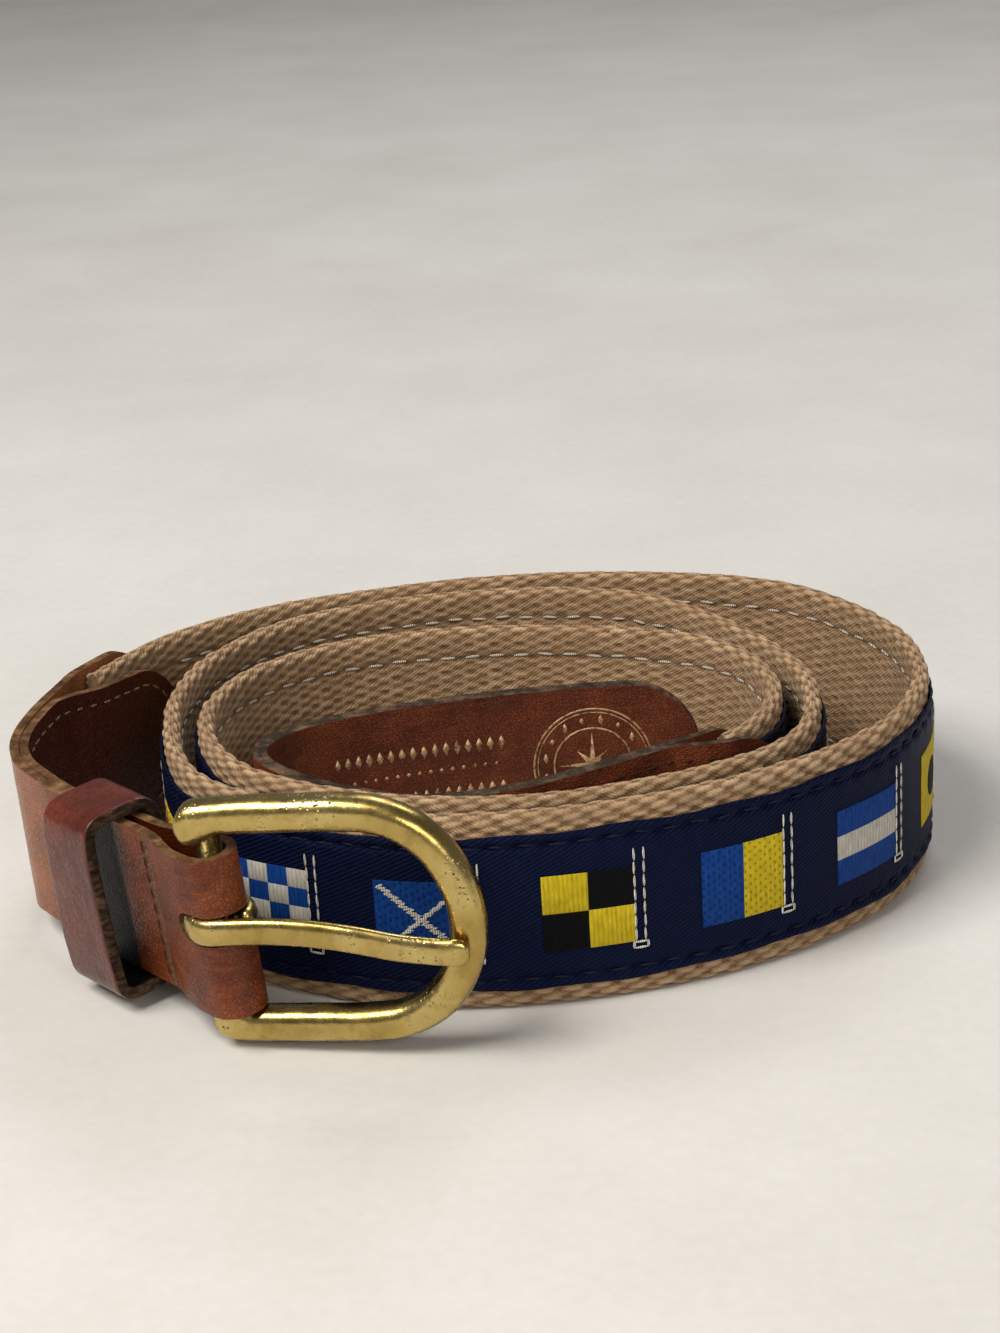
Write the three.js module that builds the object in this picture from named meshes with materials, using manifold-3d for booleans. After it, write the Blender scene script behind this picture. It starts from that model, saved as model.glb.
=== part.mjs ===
// A webbing belt with a woven flag ribbon, leather ends and a brass buckle, coiled and standing on its edge.
// Millimetres, +Z up. The belt is drawn along one line, from the buckle's heel bar to the billet's tip.
import * as THREE from "three";
import { mergeVertices } from "three/addons/utils/BufferGeometryUtils.js";
import Module from "manifold-3d";

const wasm = await Module();
wasm.setup();

// Driving dimensions
const webWidth = 32.5;
const webThick = 3.4;
const webRim = 0.8; // chamfer along the webbing's four long edges
const ribbonWidth = 25.4;
const ribbonThick = 0.4;
const layGap = 0.15; // between pieces that are sewn together
const seamInset = 1.7; // from the ribbon's edge to its seam
const threadWidth = 0.6;
const threadThick = 0.3;
const leather = 2;
const strapWidth = 25.4; // leather width at the buckle and along the billet
const pairGap = 0.3; // between the two leather layers where nothing lies between them
const tabLength = 84; // heel bar to the webbing's end
const tabTaperFrom = 56;
const endRound = 12; // length over which a leather end rounds off on the webbing
const tabOverlap = 21; // leather over webbing at the buckle end
const billetLength = 178; // rounded end on the webbing to the tip
const billetOverlap = 11;
const billetTaper = 42;
const holeCount = 5;
const holePitch = 19;
const firstHole = 80; // from the tip
const holeRadius = 2.1;
const leatherSeamInset = 3;
const foldSeamAt = 14.5;
const barRadius = 2.3;
const barClearance = 0.4;
const slotWidth = 6.6;
const slotLength = 12;
const keeperWidth = 12.5;
const keeperAt = 25.8; // keeper's middle, from the heel bar
const keeperThick = 2.1;
const keeperPocket = 4.4;
const keeperSlack = 0.6;
const wireRadius = 2.75; // buckle frame
const heelHalf = 15.8; // half the distance between the arms at the heel bar
const frontHalf = 17.05; // and where they are furthest apart
const armLength = 20;
const noseLength = 16;
const armOverhang = 3.2;
const buckleTurn = -0.2; // radians, of the frame about its heel bar from the X axis
const tabLean = 0.08; // radians, the tab's top outwards
const prongWidth = 4.2;
const prongThick = 2.3;
const prongLoop = 3.15; // inside radius of the prong's loop
const prongDroop = 0.085; // fall of the prong for each millimetre along the frame

// The belt's middle line, clockwise seen from above: x, y, height of its middle.
const middle = webWidth / 2;
const beltRoute = [
  [-45.7, -4.6, 19.4],
  [-58.54, 10.74, 18.2],
  [-71.38, 26.08, 17],
  [-74.6, 30.4, 16.7],
  [-78.4, 36.4, 16.4],
  [-79.6, 43.5, middle],
  [-77.4, 55, middle],
  [-72.2, 66, middle],
  [-67.1, 75.6, middle],
  [-60.8, 84.2, middle],
  [-47.8, 93.8, middle],
  [-30.8, 100.5, middle],
  [-5.9, 105.4, middle],
  [22.9, 103.4, middle],
  [49.4, 92.4, middle],
  [63.4, 70.4, middle],
  [65.6, 54, middle],
  [63.2, 42, middle],
  [56.5, 29.3, middle],
  [46.4, 19.6, middle],
  [33, 11.4, middle],
  [20.6, 6.6, middle],
  [8.6, 3.8, middle],
  [-4, 2.6, middle],
  [-15, 3.2, middle],
  [-25, 5.8, middle],
  [-34, 9.9, middle],
  [-43, 15.2, middle],
  [-49.5, 21.5, middle],
  [-53.4, 29, middle],
  [-55.5, 37, middle],
  [-56.6, 46, middle],
  [-56.8, 56, middle],
  [-52.6, 73, middle],
  [-41.5, 87.3, middle],
  [-24, 95.8, middle],
  [-2.4, 98.3, middle],
  [21.6, 92.8, middle],
  [38.6, 72.4, middle],
  [46, 54, middle],
  [46.6, 42, middle],
  [44, 30.5, middle],
  [38, 21.9, middle],
  [28, 15.4, middle],
  [16.6, 11.2, middle],
  [4.8, 8.7, middle],
  [-7, 8.4, middle],
  [-18.5, 10.5, middle],
  [-29.5, 15, middle],
  [-37, 19.6, middle],
  [-43.2, 25, middle],
  [-48.1, 33, middle],
  [-50.9, 44, middle],
  [-50.4, 53.5, middle],
  [-45, 65.4, middle],
  [-30.5, 76.4, middle],
  [-6, 79.9, middle],
  [20.6, 74.8, middle],
  [35.8, 64.8, middle],
  [40.8, 50, middle],
  [39.6, 40, middle],
  [34.4, 30.2, middle],
  [28.4, 25.4, middle],
  [20, 21.8, middle],
  [11, 18.4, middle],
  [2, 15.4, middle],
  [-8, 14.1, middle],
  [-19, 15.9, middle],
  [-29, 20.6, middle],
  [-37.2, 27.2, middle],
  [-42.2, 34, middle],
  [-43, 39.5, middle],
  [-39.8, 45, middle],
  [-34.6, 48.9, middle],
  [-27.9, 51.9, middle],
  [-20, 54.2, middle],
  [-9.7, 56.5, middle],
  [2.8, 58.3, middle],
  [13.3, 58.8, middle],
  [22, 59, middle],
  [30, 59, middle],
].map(([x, y, z]) => new THREE.Vector3(x, y, z));

const route = new THREE.CatmullRomCurve3(beltRoute, false, "centripetal");
route.arcLengthDivisions = 4000;
const routeLength = route.getLength();
const webStart = tabLength;
const billetStart = routeLength - billetLength;
const webEnd = billetStart + billetOverlap;
const tabEnd = webStart + tabOverlap;
const ribbonFrom = webStart + 1;
const ribbonTo = webEnd - 1;
const zAxis = new THREE.Vector3(0, 0, 1);

// The belt's own directions at a distance from the heel bar: along, outward and up its width.
function beltFrame(distance) {
  const u = THREE.MathUtils.clamp(distance / routeLength, 0, 1);
  const along = route.getTangentAt(u);
  const lean = lerpThrough(distance, [[42, tabLean], [76, 0]]);
  const out = new THREE.Vector3().crossVectors(zAxis, along).normalize();
  out.applyAxisAngle(along, -lean);
  const up = new THREE.Vector3().crossVectors(along, out).normalize();
  const at = route.getPointAt(u);
  at.addScaledVector(along, distance - u * routeLength);
  return { at, along, out, up };
}

// A point of the belt: distance along it, out from its middle line, and up from its middle.
function onBelt(distance, out, up = 0) {
  const f = beltFrame(distance);
  return f.at.clone().addScaledVector(f.out, out).addScaledVector(f.up, up);
}

// Straight lines through pairs of position and value, level before the first and after the last.
function lerpThrough(value, table) {
  let low = table[0];
  if (value <= low[0]) return low[1];
  for (const high of table.slice(1)) {
    if (value < high[0]) {
      return THREE.MathUtils.mapLinear(value, low[0], high[0], low[1], high[1]);
    }
    low = high;
  }
  return low[1];
}

// Distances that run into a rounded end.
function roundEnd(end, sign, length) {
  return [1, 0.72, 0.46, 0.26, 0.11, 0.02, 0].map((share) => end + sign * share * length);
}

// Where pieces begin, end or change, so that all of them bend at the same stations.
const stops = [
  foldSeamAt,
  tabEnd + 1,
  ribbonFrom,
  webStart,
  webStart - 1,
  webStart - 9,
  ...roundEnd(tabEnd, -1, endRound),
  ...roundEnd(billetStart, 1, endRound),
  billetStart - 1,
  ribbonTo,
  webEnd,
  webEnd + 1,
  webEnd + 9,
  ...roundEnd(routeLength, -1, strapWidth / 2),
].sort((a, b) => a - b);

// Stations along the whole belt, closer together where it bends more.
const marks = stops.flatMap((from, i) => {
  const list = [from];
  const to = stops[i + 1] ?? from;
  let at = from;
  while (at < to) {
    const turn = beltFrame(at).along.angleTo(beltFrame(at + 2).along) / 2;
    at += THREE.MathUtils.clamp(0.14 / (turn + 1e-4), 2.5, 9.5);
    if (at < to - 1.5) list.push(at);
  }
  return list;
});
const stations = (from, to) => marks.filter((d) => d > from - 0.001 && d < to + 0.001);

// A closed solid through rings of points, each ring in the same order.
function skin(rings) {
  const sides = rings[0].length;
  const position = rings.flat().flatMap((p) => [p.x, p.y, p.z]);
  const index = [];
  for (let r = 0; r < rings.length - 1; r++) {
    for (let k = 0; k < sides; k++) {
      const a = r * sides + k;
      const b = r * sides + ((k + 1) % sides);
      index.push(a, b, a + sides, b, b + sides, a + sides);
    }
  }
  const last = (rings.length - 1) * sides;
  for (let k = 1; k < sides - 1; k++) {
    index.push(0, k + 1, k, last, last + k, last + k + 1);
  }
  const geometry = new THREE.BufferGeometry();
  geometry.setAttribute("position", new THREE.Float32BufferAttribute(position, 3));
  geometry.setIndex(index);
  return geometry;
}

// One ring of a skin: side cross face points along the direction of travel.
function ring(centre, side, face, outline) {
  return outline.map(([x, y]) => centre.clone().addScaledVector(side, x).addScaledVector(face, y));
}

const box = (halfWidth, halfThick) => [
  [-halfWidth, -halfThick],
  [halfWidth, -halfThick],
  [halfWidth, halfThick],
  [-halfWidth, halfThick],
];

// A flat strip along points on a surface whose normals are given.
function strip(points, normals, halfWidths, thick) {
  const rings = points.map((p, i) => {
    const before = points[Math.max(i - 1, 0)];
    const after = points[Math.min(i + 1, points.length - 1)];
    const travel = new THREE.Vector3().subVectors(after, before).normalize();
    const side = new THREE.Vector3().crossVectors(normals[i], travel).normalize();
    const face = new THREE.Vector3().crossVectors(travel, side).normalize();
    return ring(p, side, face, box(halfWidths[i], thick / 2));
  });
  return skin(rings);
}

// Solid of the belt's cross-section between two distances.
function beltRun(from, to, out, thick, width, chamfer) {
  const w = width / 2;
  const t = thick / 2;
  const c = chamfer;
  const outline = c
    ? [[-w, -t + c], [-w + c, -t], [w - c, -t], [w, -t + c], [w, t - c], [w - c, t], [-w + c, t], [-w, t - c]]
    : box(w, t);
  const rings = stations(from, to).map((d) => {
    const f = beltFrame(d);
    const side = f.up.clone().negate();
    return ring(f.at.clone().addScaledVector(f.out, out), side, f.out, outline);
  });
  return skin(rings);
}

function toSolid(geometry) {
  const bare = geometry.clone();
  bare.deleteAttribute("normal");
  bare.deleteAttribute("uv");
  const merged = mergeVertices(bare, 1e-4);
  return new wasm.Manifold(
    new wasm.Mesh({
      numProp: 3,
      vertProperties: merged.attributes.position.array,
      triVerts: new Uint32Array(merged.index.array),
    }),
  );
}

function toGeometry(solid) {
  const mesh = solid.getMesh();
  const geometry = new THREE.BufferGeometry();
  geometry.setAttribute("position", new THREE.Float32BufferAttribute(mesh.vertProperties, 3));
  geometry.setIndex(new THREE.BufferAttribute(mesh.triVerts, 1));
  return geometry;
}

const cut = (geometry, ...tools) =>
  toGeometry(tools.reduce((solid, tool) => solid.subtract(toSolid(tool)), toSolid(geometry)));
const join = (geometry, ...others) =>
  toGeometry(others.reduce((solid, other) => solid.add(toSolid(other)), toSolid(geometry)));

// Places a shape made in X, Y, Z on three directions of the belt or buckle.
function place(geometry, origin, x, y, z) {
  const basis = new THREE.Matrix4().makeBasis(x, y, z);
  basis.setPosition(origin);
  return geometry.applyMatrix4(basis);
}

// Leather tapers from the webbing's width to the strap's, and rounds off over the webbing.
const tabHalf = (d) => lerpThrough(d, [[tabTaperFrom, strapWidth / 2], [webStart, webWidth / 2]]);
const billetHalf = (d) =>
  lerpThrough(d - webEnd, [[8, webWidth / 2], [8 + billetTaper, strapWidth / 2]]);
const rounded = (half, toEnd, length) =>
  toEnd >= length ? half : half * Math.sqrt(Math.max(1 - (1 - toEnd / length) ** 2, 0.002));

const outerLay = webThick / 2 + layGap + ribbonThick + layGap + leather / 2;
const innerLay = webThick / 2 + layGap + leather / 2;
const pairLay = pairGap / 2 + leather / 2;
const foldRadius = barRadius + barClearance + leather / 2;

// The buckle tab: one strip of leather, folded round the heel bar, its two legs over the webbing's end.
function tabStations() {
  const legs = stations(foldSeamAt, tabEnd);
  const lay = (d, joint) => lerpThrough(d, [[webStart - 9, pairLay], [webStart - 1, joint]]);
  const outer = legs.map((d) => [d, lay(d, outerLay)]);
  const inner = legs.map((d) => [d, -lay(d, innerLay)]);
  const fold = [[11.5, pairLay + 0.5], [8, foldRadius - 0.9], [4, foldRadius - 0.05]];
  for (let k = 0; k <= 8; k++) {
    const angle = (Math.PI * k) / 8;
    fold.push([-foldRadius * Math.sin(angle), foldRadius * Math.cos(angle)]);
  }
  fold.push([4, -foldRadius + 0.05], [8, -foldRadius + 0.9], [11.5, -pairLay - 0.5]);
  return [...outer.reverse(), ...fold, ...inner];
}

function buckleTab() {
  const list = tabStations();
  const points = list.map(([d, out]) => onBelt(d, out));
  const widths = list.map(([d]) => rounded(tabHalf(d), tabEnd - d, endRound));
  const rings = points.map((p, i) => {
    const travel = new THREE.Vector3()
      .subVectors(points[Math.min(i + 1, points.length - 1)], points[Math.max(i - 1, 0)])
      .normalize();
    const up = beltFrame(list[i][0]).up;
    const face = new THREE.Vector3().crossVectors(travel, up).normalize();
    return ring(p, up, face, box(widths[i], leather / 2));
  });
  const heel = beltFrame(0);
  const slot = new THREE.BoxGeometry(30, slotWidth, slotLength + 20);
  place(slot, onBelt(slotLength / 2 - 10, 0), heel.out, heel.up, heel.along);
  return cut(skin(rings), slot);
}

// The billet: two leather layers, over the webbing at one end and rounded at the tip.
function billetLayer(side, joint) {
  const tipHalf = strapWidth / 2;
  const distances = stations(billetStart, routeLength);
  const lay = (d) => side * lerpThrough(d, [[webEnd + 1, joint], [webEnd + 9, pairLay]]);
  const points = distances.map((d) => onBelt(d, lay(d)));
  const normals = distances.map((d) => beltFrame(d).out);
  const widths = distances.map((d) =>
    routeLength - d < tipHalf
      ? rounded(tipHalf, routeLength - d, tipHalf)
      : rounded(billetHalf(d), d - billetStart, endRound),
  );
  const holes = [];
  for (let k = 0; k < holeCount; k++) {
    const f = beltFrame(routeLength - firstHole - k * holePitch);
    const punch = new THREE.CylinderGeometry(holeRadius, holeRadius, 12, 12);
    holes.push(place(punch, f.at, f.along, f.out, f.up));
  }
  return cut(strip(points, normals, widths, leather), ...holes);
}

// A run of stitches on the belt's face at one height.
function seamRun(from, to, out, up) {
  const distances = stations(from, to);
  const points = distances.map((d) => onBelt(d, out, up));
  const normals = distances.map((d) => beltFrame(d).out.clone().multiplyScalar(Math.sign(out)));
  return strip(points, normals, distances.map(() => threadWidth / 2), threadThick);
}

// A run of stitches round a rounded leather end: up one edge, round, and down the other.
function endSeam(from, end, halfAt, outAt) {
  const sign = Math.sign(end - from);
  const rise = webWidth / 2 - leatherSeamInset;
  const run = endRound - leatherSeamInset * 0.8;
  const centre = end - sign * endRound;
  const low = Math.min(from, centre);
  const high = Math.max(from, centre);
  const side = stations(low, high);
  if (sign < 0) side.reverse();
  const path = side.map((d) => [d, halfAt(d) - leatherSeamInset]);
  for (let k = 1; k < 10; k++) {
    const angle = Math.PI / 2 - (Math.PI * k) / 10;
    path.push([centre + sign * run * Math.cos(angle), rise * Math.sin(angle)]);
  }
  path.push(...side.reverse().map((d) => [d, leatherSeamInset - halfAt(d)]));
  const points = path.map(([d, up]) => onBelt(d, outAt(d), up));
  const normals = path.map(([d]) => beltFrame(d).out.clone().multiplyScalar(Math.sign(outAt(d))));
  return strip(points, normals, path.map(() => threadWidth / 2), threadThick);
}

// A round bar through a list of points, given as a section of so many sides.
function bar(points, radius, sides = 12) {
  const outline = new THREE.Shape();
  outline.absarc(0, 0, radius, 0, 2 * Math.PI);
  const path = new THREE.CatmullRomCurve3(points, false, "centripetal");
  return new THREE.ExtrudeGeometry(outline, {
    steps: points.length * 2,
    curveSegments: sides / 2,
    bevelEnabled: false,
    extrudePath: path,
  });
}

// The buckle's directions: along its arms, out of its face and up its heel bar.
const heelBar = beltFrame(0);
const buckleUp = heelBar.up;
const buckleAlong = new THREE.Vector3(Math.cos(buckleTurn), Math.sin(buckleTurn), 0);
buckleAlong.addScaledVector(buckleUp, -buckleAlong.dot(buckleUp)).normalize();
const buckleOut = new THREE.Vector3().crossVectors(buckleAlong, buckleUp).normalize();
const onBuckle = (along, up, out = 0) =>
  heelBar.at
    .clone()
    .addScaledVector(buckleAlong, along)
    .addScaledVector(buckleUp, up)
    .addScaledVector(buckleOut, out);

function buckleFrame() {
  const half = [
    [-armOverhang, heelHalf],
    [5, heelHalf + 0.35],
    [13, frontHalf - 0.25],
  ];
  const nose = [];
  for (let k = 0; k <= 12; k++) {
    const angle = Math.PI / 2 - (Math.PI * k) / 12;
    nose.push([armLength + noseLength * Math.cos(angle) ** 0.9, frontHalf * Math.sin(angle)]);
  }
  const outline = [...half, ...nose, ...half.map(([a, u]) => [a, -u]).reverse()];
  const frame = bar(outline.map(([a, u]) => onBuckle(a, u)), wireRadius);
  const heel = new THREE.CylinderGeometry(barRadius, barRadius, 2 * heelHalf, 16);
  place(heel, heelBar.at, buckleAlong, buckleUp, buckleOut);
  return join(frame, heel);
}

function prong() {
  const reach = armLength + noseLength + 1.6;
  const mid = prongLoop + prongThick / 2;
  const loop = new THREE.Shape();
  loop.absarc(0, 0, prongLoop + prongThick, 0, 2 * Math.PI);
  const eye = new THREE.Path();
  eye.absarc(0, 0, prongLoop, 0, 2 * Math.PI);
  loop.holes.push(eye);
  const ringShape = new THREE.ExtrudeGeometry(loop, {
    depth: prongWidth,
    bevelEnabled: false,
    curveSegments: 16,
  });
  ringShape.translate(0, 0, -prongWidth / 2);
  place(ringShape, heelBar.at, buckleOut, buckleAlong, buckleUp);
  const shank = [[0, 1], [12, 1], [26, 0.92], [reach - 5, 0.85], [reach - 1.2, 0.6], [reach, 0.3]];
  const rings = shank.map(([a, share]) => {
    const w = (prongWidth / 2) * share;
    const t = (prongThick / 2) * (a > reach - 2 ? 0.6 : 1);
    const rest = a > 26 ? mid - 0.15 * ((a - 26) / 10) : mid;
    const outline = [[-w, -t], [w, -t], [w, t * 0.4], [w * 0.6, t], [-w * 0.6, t], [-w, t * 0.4]];
    return ring(onBuckle(a, -a * prongDroop, rest), buckleUp, buckleOut, outline);
  });
  return join(ringShape, skin(rings));
}

function keeper() {
  const f = beltFrame(keeperAt);
  const back = -(pairLay + leather / 2 + keeperSlack);
  const front = pairLay + leather / 2 + keeperPocket;
  const high = strapWidth / 2 + keeperSlack + 0.2;
  const loopShape = (grow, corner) => {
    const [x0, x1, y] = [back - grow, front + grow, high + grow];
    const shape = new THREE.Shape();
    shape.moveTo(x0 + corner, -y);
    shape.lineTo(x1 - corner, -y);
    shape.quadraticCurveTo(x1, -y, x1, -y + corner);
    shape.lineTo(x1, y - corner);
    shape.quadraticCurveTo(x1, y, x1 - corner, y);
    shape.lineTo(x0 + corner, y);
    shape.quadraticCurveTo(x0, y, x0, y - corner);
    shape.lineTo(x0, -y + corner);
    shape.quadraticCurveTo(x0, -y, x0 + corner, -y);
    return shape;
  };
  const shape = loopShape(keeperThick, 3);
  shape.holes.push(loopShape(0, 1.2));
  const loop = new THREE.ExtrudeGeometry(shape, {
    depth: keeperWidth,
    bevelEnabled: false,
    curveSegments: 4,
  });
  loop.translate(0, 0, -keeperWidth / 2);
  return place(loop, f.at, f.out, f.up, f.along);
}

// The wire staple that closes the keeper's strip, across its butt joint behind the tab.
function keeperStaple() {
  const f = beltFrame(keeperAt);
  const out = -(pairLay + leather / 2 + keeperSlack + keeperThick + layGap + 0.4);
  const crown = new THREE.BoxGeometry(0.8, 9, 1.4);
  return place(crown, f.at.clone().addScaledVector(f.out, out), f.out, f.up, f.along);
}

const finish = (color, roughness, metalness = 0) =>
  new THREE.MeshStandardMaterial({ color, roughness, metalness });
const cotton = finish(0xb8946a, 0.95);
const satin = finish(0x0d1230, 0.6);
const navyThread = finish(0x0a0d24, 0.7);
const whiteThread = finish(0xc9c7bd, 0.7);
const hide = finish(0x7c3a1e, 0.5);
const darkHide = finish(0x4a1c10, 0.45);
const darkThread = finish(0x1c0f0a, 0.8);
const brass = finish(0xb99a4c, 0.32, 1);

const ribbonLay = webThick / 2 + layGap + ribbonThick / 2;
const threadLay = ribbonLay + ribbonThick / 2 + threadThick / 2 + 0.05;
const bobbinLay = webThick / 2 + threadThick / 2 + 0.05;
const seamUp = ribbonWidth / 2 - seamInset;
const seamLift = leather / 2 + threadThick / 2 + 0.3;
const coverLay = (d, lay, at) => lerpThrough(d, [[at - 9, pairLay], [at - 1, lay]]) + seamLift;
const tabOut = (d) => coverLay(d, outerLay, webStart);
const tabIn = (d) => -coverLay(d, innerLay, webStart);
const billetLay = (d, lay) =>
  lerpThrough(d, [[webEnd + 1, lay], [webEnd + 9, pairLay]]) + seamLift;

function foldSeam() {
  const out = tabOut(foldSeamAt);
  const reach = strapWidth / 2 - 2;
  const points = [-reach, 0, reach].map((up) => onBelt(foldSeamAt, out, up));
  const normals = points.map(() => beltFrame(foldSeamAt).out);
  return strip(points, normals, points.map(() => threadWidth / 2), threadThick);
}

const clearFrom = tabEnd + 1;
const clearTo = billetStart - 1;
const pieces = [
  ["webbing", beltRun(webStart, webEnd, 0, webThick, webWidth, webRim), cotton],
  ["flag_ribbon", beltRun(ribbonFrom, ribbonTo, ribbonLay, ribbonThick, ribbonWidth, 0), satin],
  ["ribbon_seam_upper", seamRun(clearFrom, clearTo, threadLay, seamUp), navyThread],
  ["ribbon_seam_lower", seamRun(clearFrom, clearTo, threadLay, -seamUp), navyThread],
  ["bobbin_seam_upper", seamRun(clearFrom, clearTo, -bobbinLay, seamUp), whiteThread],
  ["bobbin_seam_lower", seamRun(clearFrom, clearTo, -bobbinLay, -seamUp), whiteThread],
  ["buckle_tab", buckleTab(), hide],
  ["tab_seam_outer", endSeam(56, tabEnd, tabHalf, tabOut), darkThread],
  ["tab_seam_inner", endSeam(56, tabEnd, tabHalf, tabIn), whiteThread],
  ["fold_seam", foldSeam(), darkThread],
  ["billet_outer", billetLayer(1, outerLay), darkHide],
  ["billet_inner", billetLayer(-1, innerLay), darkHide],
  [
    "billet_seam_outer",
    endSeam(webEnd + 20, billetStart, billetHalf, (d) => billetLay(d, outerLay)),
    darkThread,
  ],
  [
    "billet_seam_inner",
    endSeam(webEnd + 20, billetStart, billetHalf, (d) => -billetLay(d, innerLay)),
    darkThread,
  ],
  ["keeper", keeper(), hide],
  ["keeper_staple", keeperStaple(), brass],
  ["buckle_frame", buckleFrame(), brass],
  ["prong", prong(), brass],
];

const belt = new THREE.Group();
for (const [name, geometry, material] of pieces) {
  const mesh = new THREE.Mesh(geometry, material);
  mesh.name = name;
  belt.add(mesh);
}

// The origin is under the middle of the whole coil, on the surface it stands on.
const bounds = new THREE.Box3().setFromObject(belt);
const centre = bounds.getCenter(new THREE.Vector3());
belt.position.set(-centre.x, -centre.y, -bounds.min.z);

export default belt;
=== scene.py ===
# Ribbon belt, coiled and standing on its edge: cotton webbing, flag ribbon, leather ends, brass buckle.
# Each part of the belt is laid out straight, in millimetres: X along the belt, Y outwards, Z up its width.
# It is then bent onto the belt's line, in metres. The buckle and its prong have directions of their own.
import math
import random

import bmesh
import bpy
import numpy as np
from mathutils import Matrix, Vector, noise


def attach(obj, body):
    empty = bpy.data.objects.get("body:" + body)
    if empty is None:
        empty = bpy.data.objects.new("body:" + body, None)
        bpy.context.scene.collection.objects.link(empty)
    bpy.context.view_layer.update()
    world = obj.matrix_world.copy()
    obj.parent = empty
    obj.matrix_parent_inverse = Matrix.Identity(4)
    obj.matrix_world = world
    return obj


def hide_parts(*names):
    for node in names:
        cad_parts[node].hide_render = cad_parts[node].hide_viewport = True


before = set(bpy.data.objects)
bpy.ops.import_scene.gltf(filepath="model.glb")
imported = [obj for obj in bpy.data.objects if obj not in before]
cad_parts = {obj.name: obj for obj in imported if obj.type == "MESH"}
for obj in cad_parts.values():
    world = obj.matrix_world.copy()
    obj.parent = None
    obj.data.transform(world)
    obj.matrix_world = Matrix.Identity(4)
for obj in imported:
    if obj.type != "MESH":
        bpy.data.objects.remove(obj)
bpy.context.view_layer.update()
random.seed(11)
mm = 0.001

beltLine = {
    "shift": (7.2766, -45.674, 0.0),  # to the middle of the coil
    "lean": ((42.0, 0.08), (76.0, 0.0)),  # distance, and the lean outwards in radians
    "step": 0.25,
    "points": [
        (-45.7, -4.6, 19.4), (-58.54, 10.74, 18.2), (-71.38, 26.08, 17.8), (-74.6, 30.4, 18.0),
        (-78.4, 36.4, 18.0), (-79.6, 43.5, 17.7), (-77.4, 55, 17.1), (-72.2, 66, 16.6), (-67.1, 75.6),
        (-60.8, 84.2), (-47.8, 93.8), (-30.8, 100.5), (-5.9, 105.4), (22.9, 103.4), (49.4, 92.4),
        (63.4, 70.4),
        (65.6, 54), (63.2, 42), (56.5, 29.3), (46.4, 19.6), (33, 11.4), (20.6, 6.6), (8.6, 3.8),
        (-4, 2.6), (-15, 3.2), (-25, 5.8), (-34, 9.9), (-43, 15.2), (-49.5, 21.5), (-53.4, 29),
        (-55.5, 37), (-56.6, 46), (-56.8, 56), (-52.6, 73), (-41.5, 87.3), (-24, 95.8), (-2.4, 98.3),
        (21.6, 92.8), (38.6, 72.4), (46, 54), (46.6, 42), (44, 30.5), (38, 21.9), (28, 15.4),
        (16.6, 11.2), (4.8, 8.7), (-7, 8.4), (-18.5, 10.5), (-29.5, 15), (-37, 19.6), (-43.2, 25),
        (-48.1, 33), (-50.9, 44), (-50.4, 53.5), (-45, 65.4), (-30.5, 76.4), (-6, 79.9), (20.6, 74.8),
        (35.8, 64.8), (40.8, 50), (39.6, 40), (34.4, 30.2), (28.4, 25.4), (20, 21.8), (11, 18.4),
        (2, 15.4), (-8, 14.1), (-19, 15.9), (-29, 20.6), (-37.2, 27.2), (-42.2, 34), (-43, 39.5),
        (-39.8, 45), (-34.6, 48.9), (-27.9, 51.9), (-20, 54.2), (-9.7, 56.5), (2.8, 58.3),
        (13.3, 58.8), (22, 59), (30, 59),
    ],
    "middle": 16.25,
}


def throughPoints(points, perSpan=60):
    # A smooth curve through given points, its speed set by the square root of their spacing
    p = np.array(points, float)
    p = np.vstack([2 * p[0] - p[1], p, 2 * p[-1] - p[-2]])
    t = np.linspace(0, 1, perSpan, endpoint=False)[:, None]
    spans = []
    for a, b, c, d in zip(p, p[1:], p[2:], p[3:]):
        k0, k1, k2 = (np.linalg.norm(far - near) ** 0.5 for near, far in ((a, b), (b, c), (c, d)))
        leave = ((b - a) / k0 - (c - a) / (k0 + k1) + (c - b) / k1) * k1
        reach = ((c - b) / k1 - (d - b) / (k1 + k2) + (d - c) / k2) * k1
        spans.append(
            b + leave * t + (3 * (c - b) - 2 * leave - reach) * t**2
            + (2 * (b - c) + leave + reach) * t**3
        )
    return np.vstack(spans + [p[-2:-1]])


def evenly(curve, step):
    # The same curve, sampled at even distances along it
    lengths = np.concatenate([[0], np.cumsum(np.linalg.norm(np.diff(curve, axis=0), axis=1))])
    at = np.linspace(0, lengths[-1], int(lengths[-1] / step) + 1)
    return at, np.stack([np.interp(at, lengths, curve[:, k]) for k in range(curve.shape[1])], 1)


def unit(vectors):
    return vectors / np.linalg.norm(vectors, axis=1, keepdims=True)


def layBelt():
    middle = beltLine["middle"]
    points = [(p[0], p[1], p[2] if len(p) > 2 else middle) for p in beltLine["points"]]
    at, centre = evenly(throughPoints(points), beltLine["step"])
    along = unit(np.gradient(centre, at, axis=0))
    flat = unit(np.cross((0, 0, 1), along))
    rise = np.cross(along, flat)
    (leanFrom, lean), (leanTo, none) = beltLine["lean"]
    turn = -np.interp(at, (leanFrom, leanTo), (lean, none))[:, None]
    out = flat * np.cos(turn) + rise * np.sin(turn)
    centre = centre + np.array(beltLine["shift"])
    return {"at": at, "centre": centre, "along": along, "out": out, "up": np.cross(along, out)}


belt = layBelt()
beltLength = belt["at"][-1]


def beltFrame(distance):
    distance = np.asarray(distance, float)
    pick = lambda key: np.stack([np.interp(distance, belt["at"], belt[key][:, k]) for k in range(3)], -1)
    centre, along, out, up = (pick(key) for key in ("centre", "along", "out", "up"))
    beyond = distance - np.clip(distance, 0, beltLength)
    return centre + along * beyond[..., None], along, out, up


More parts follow.
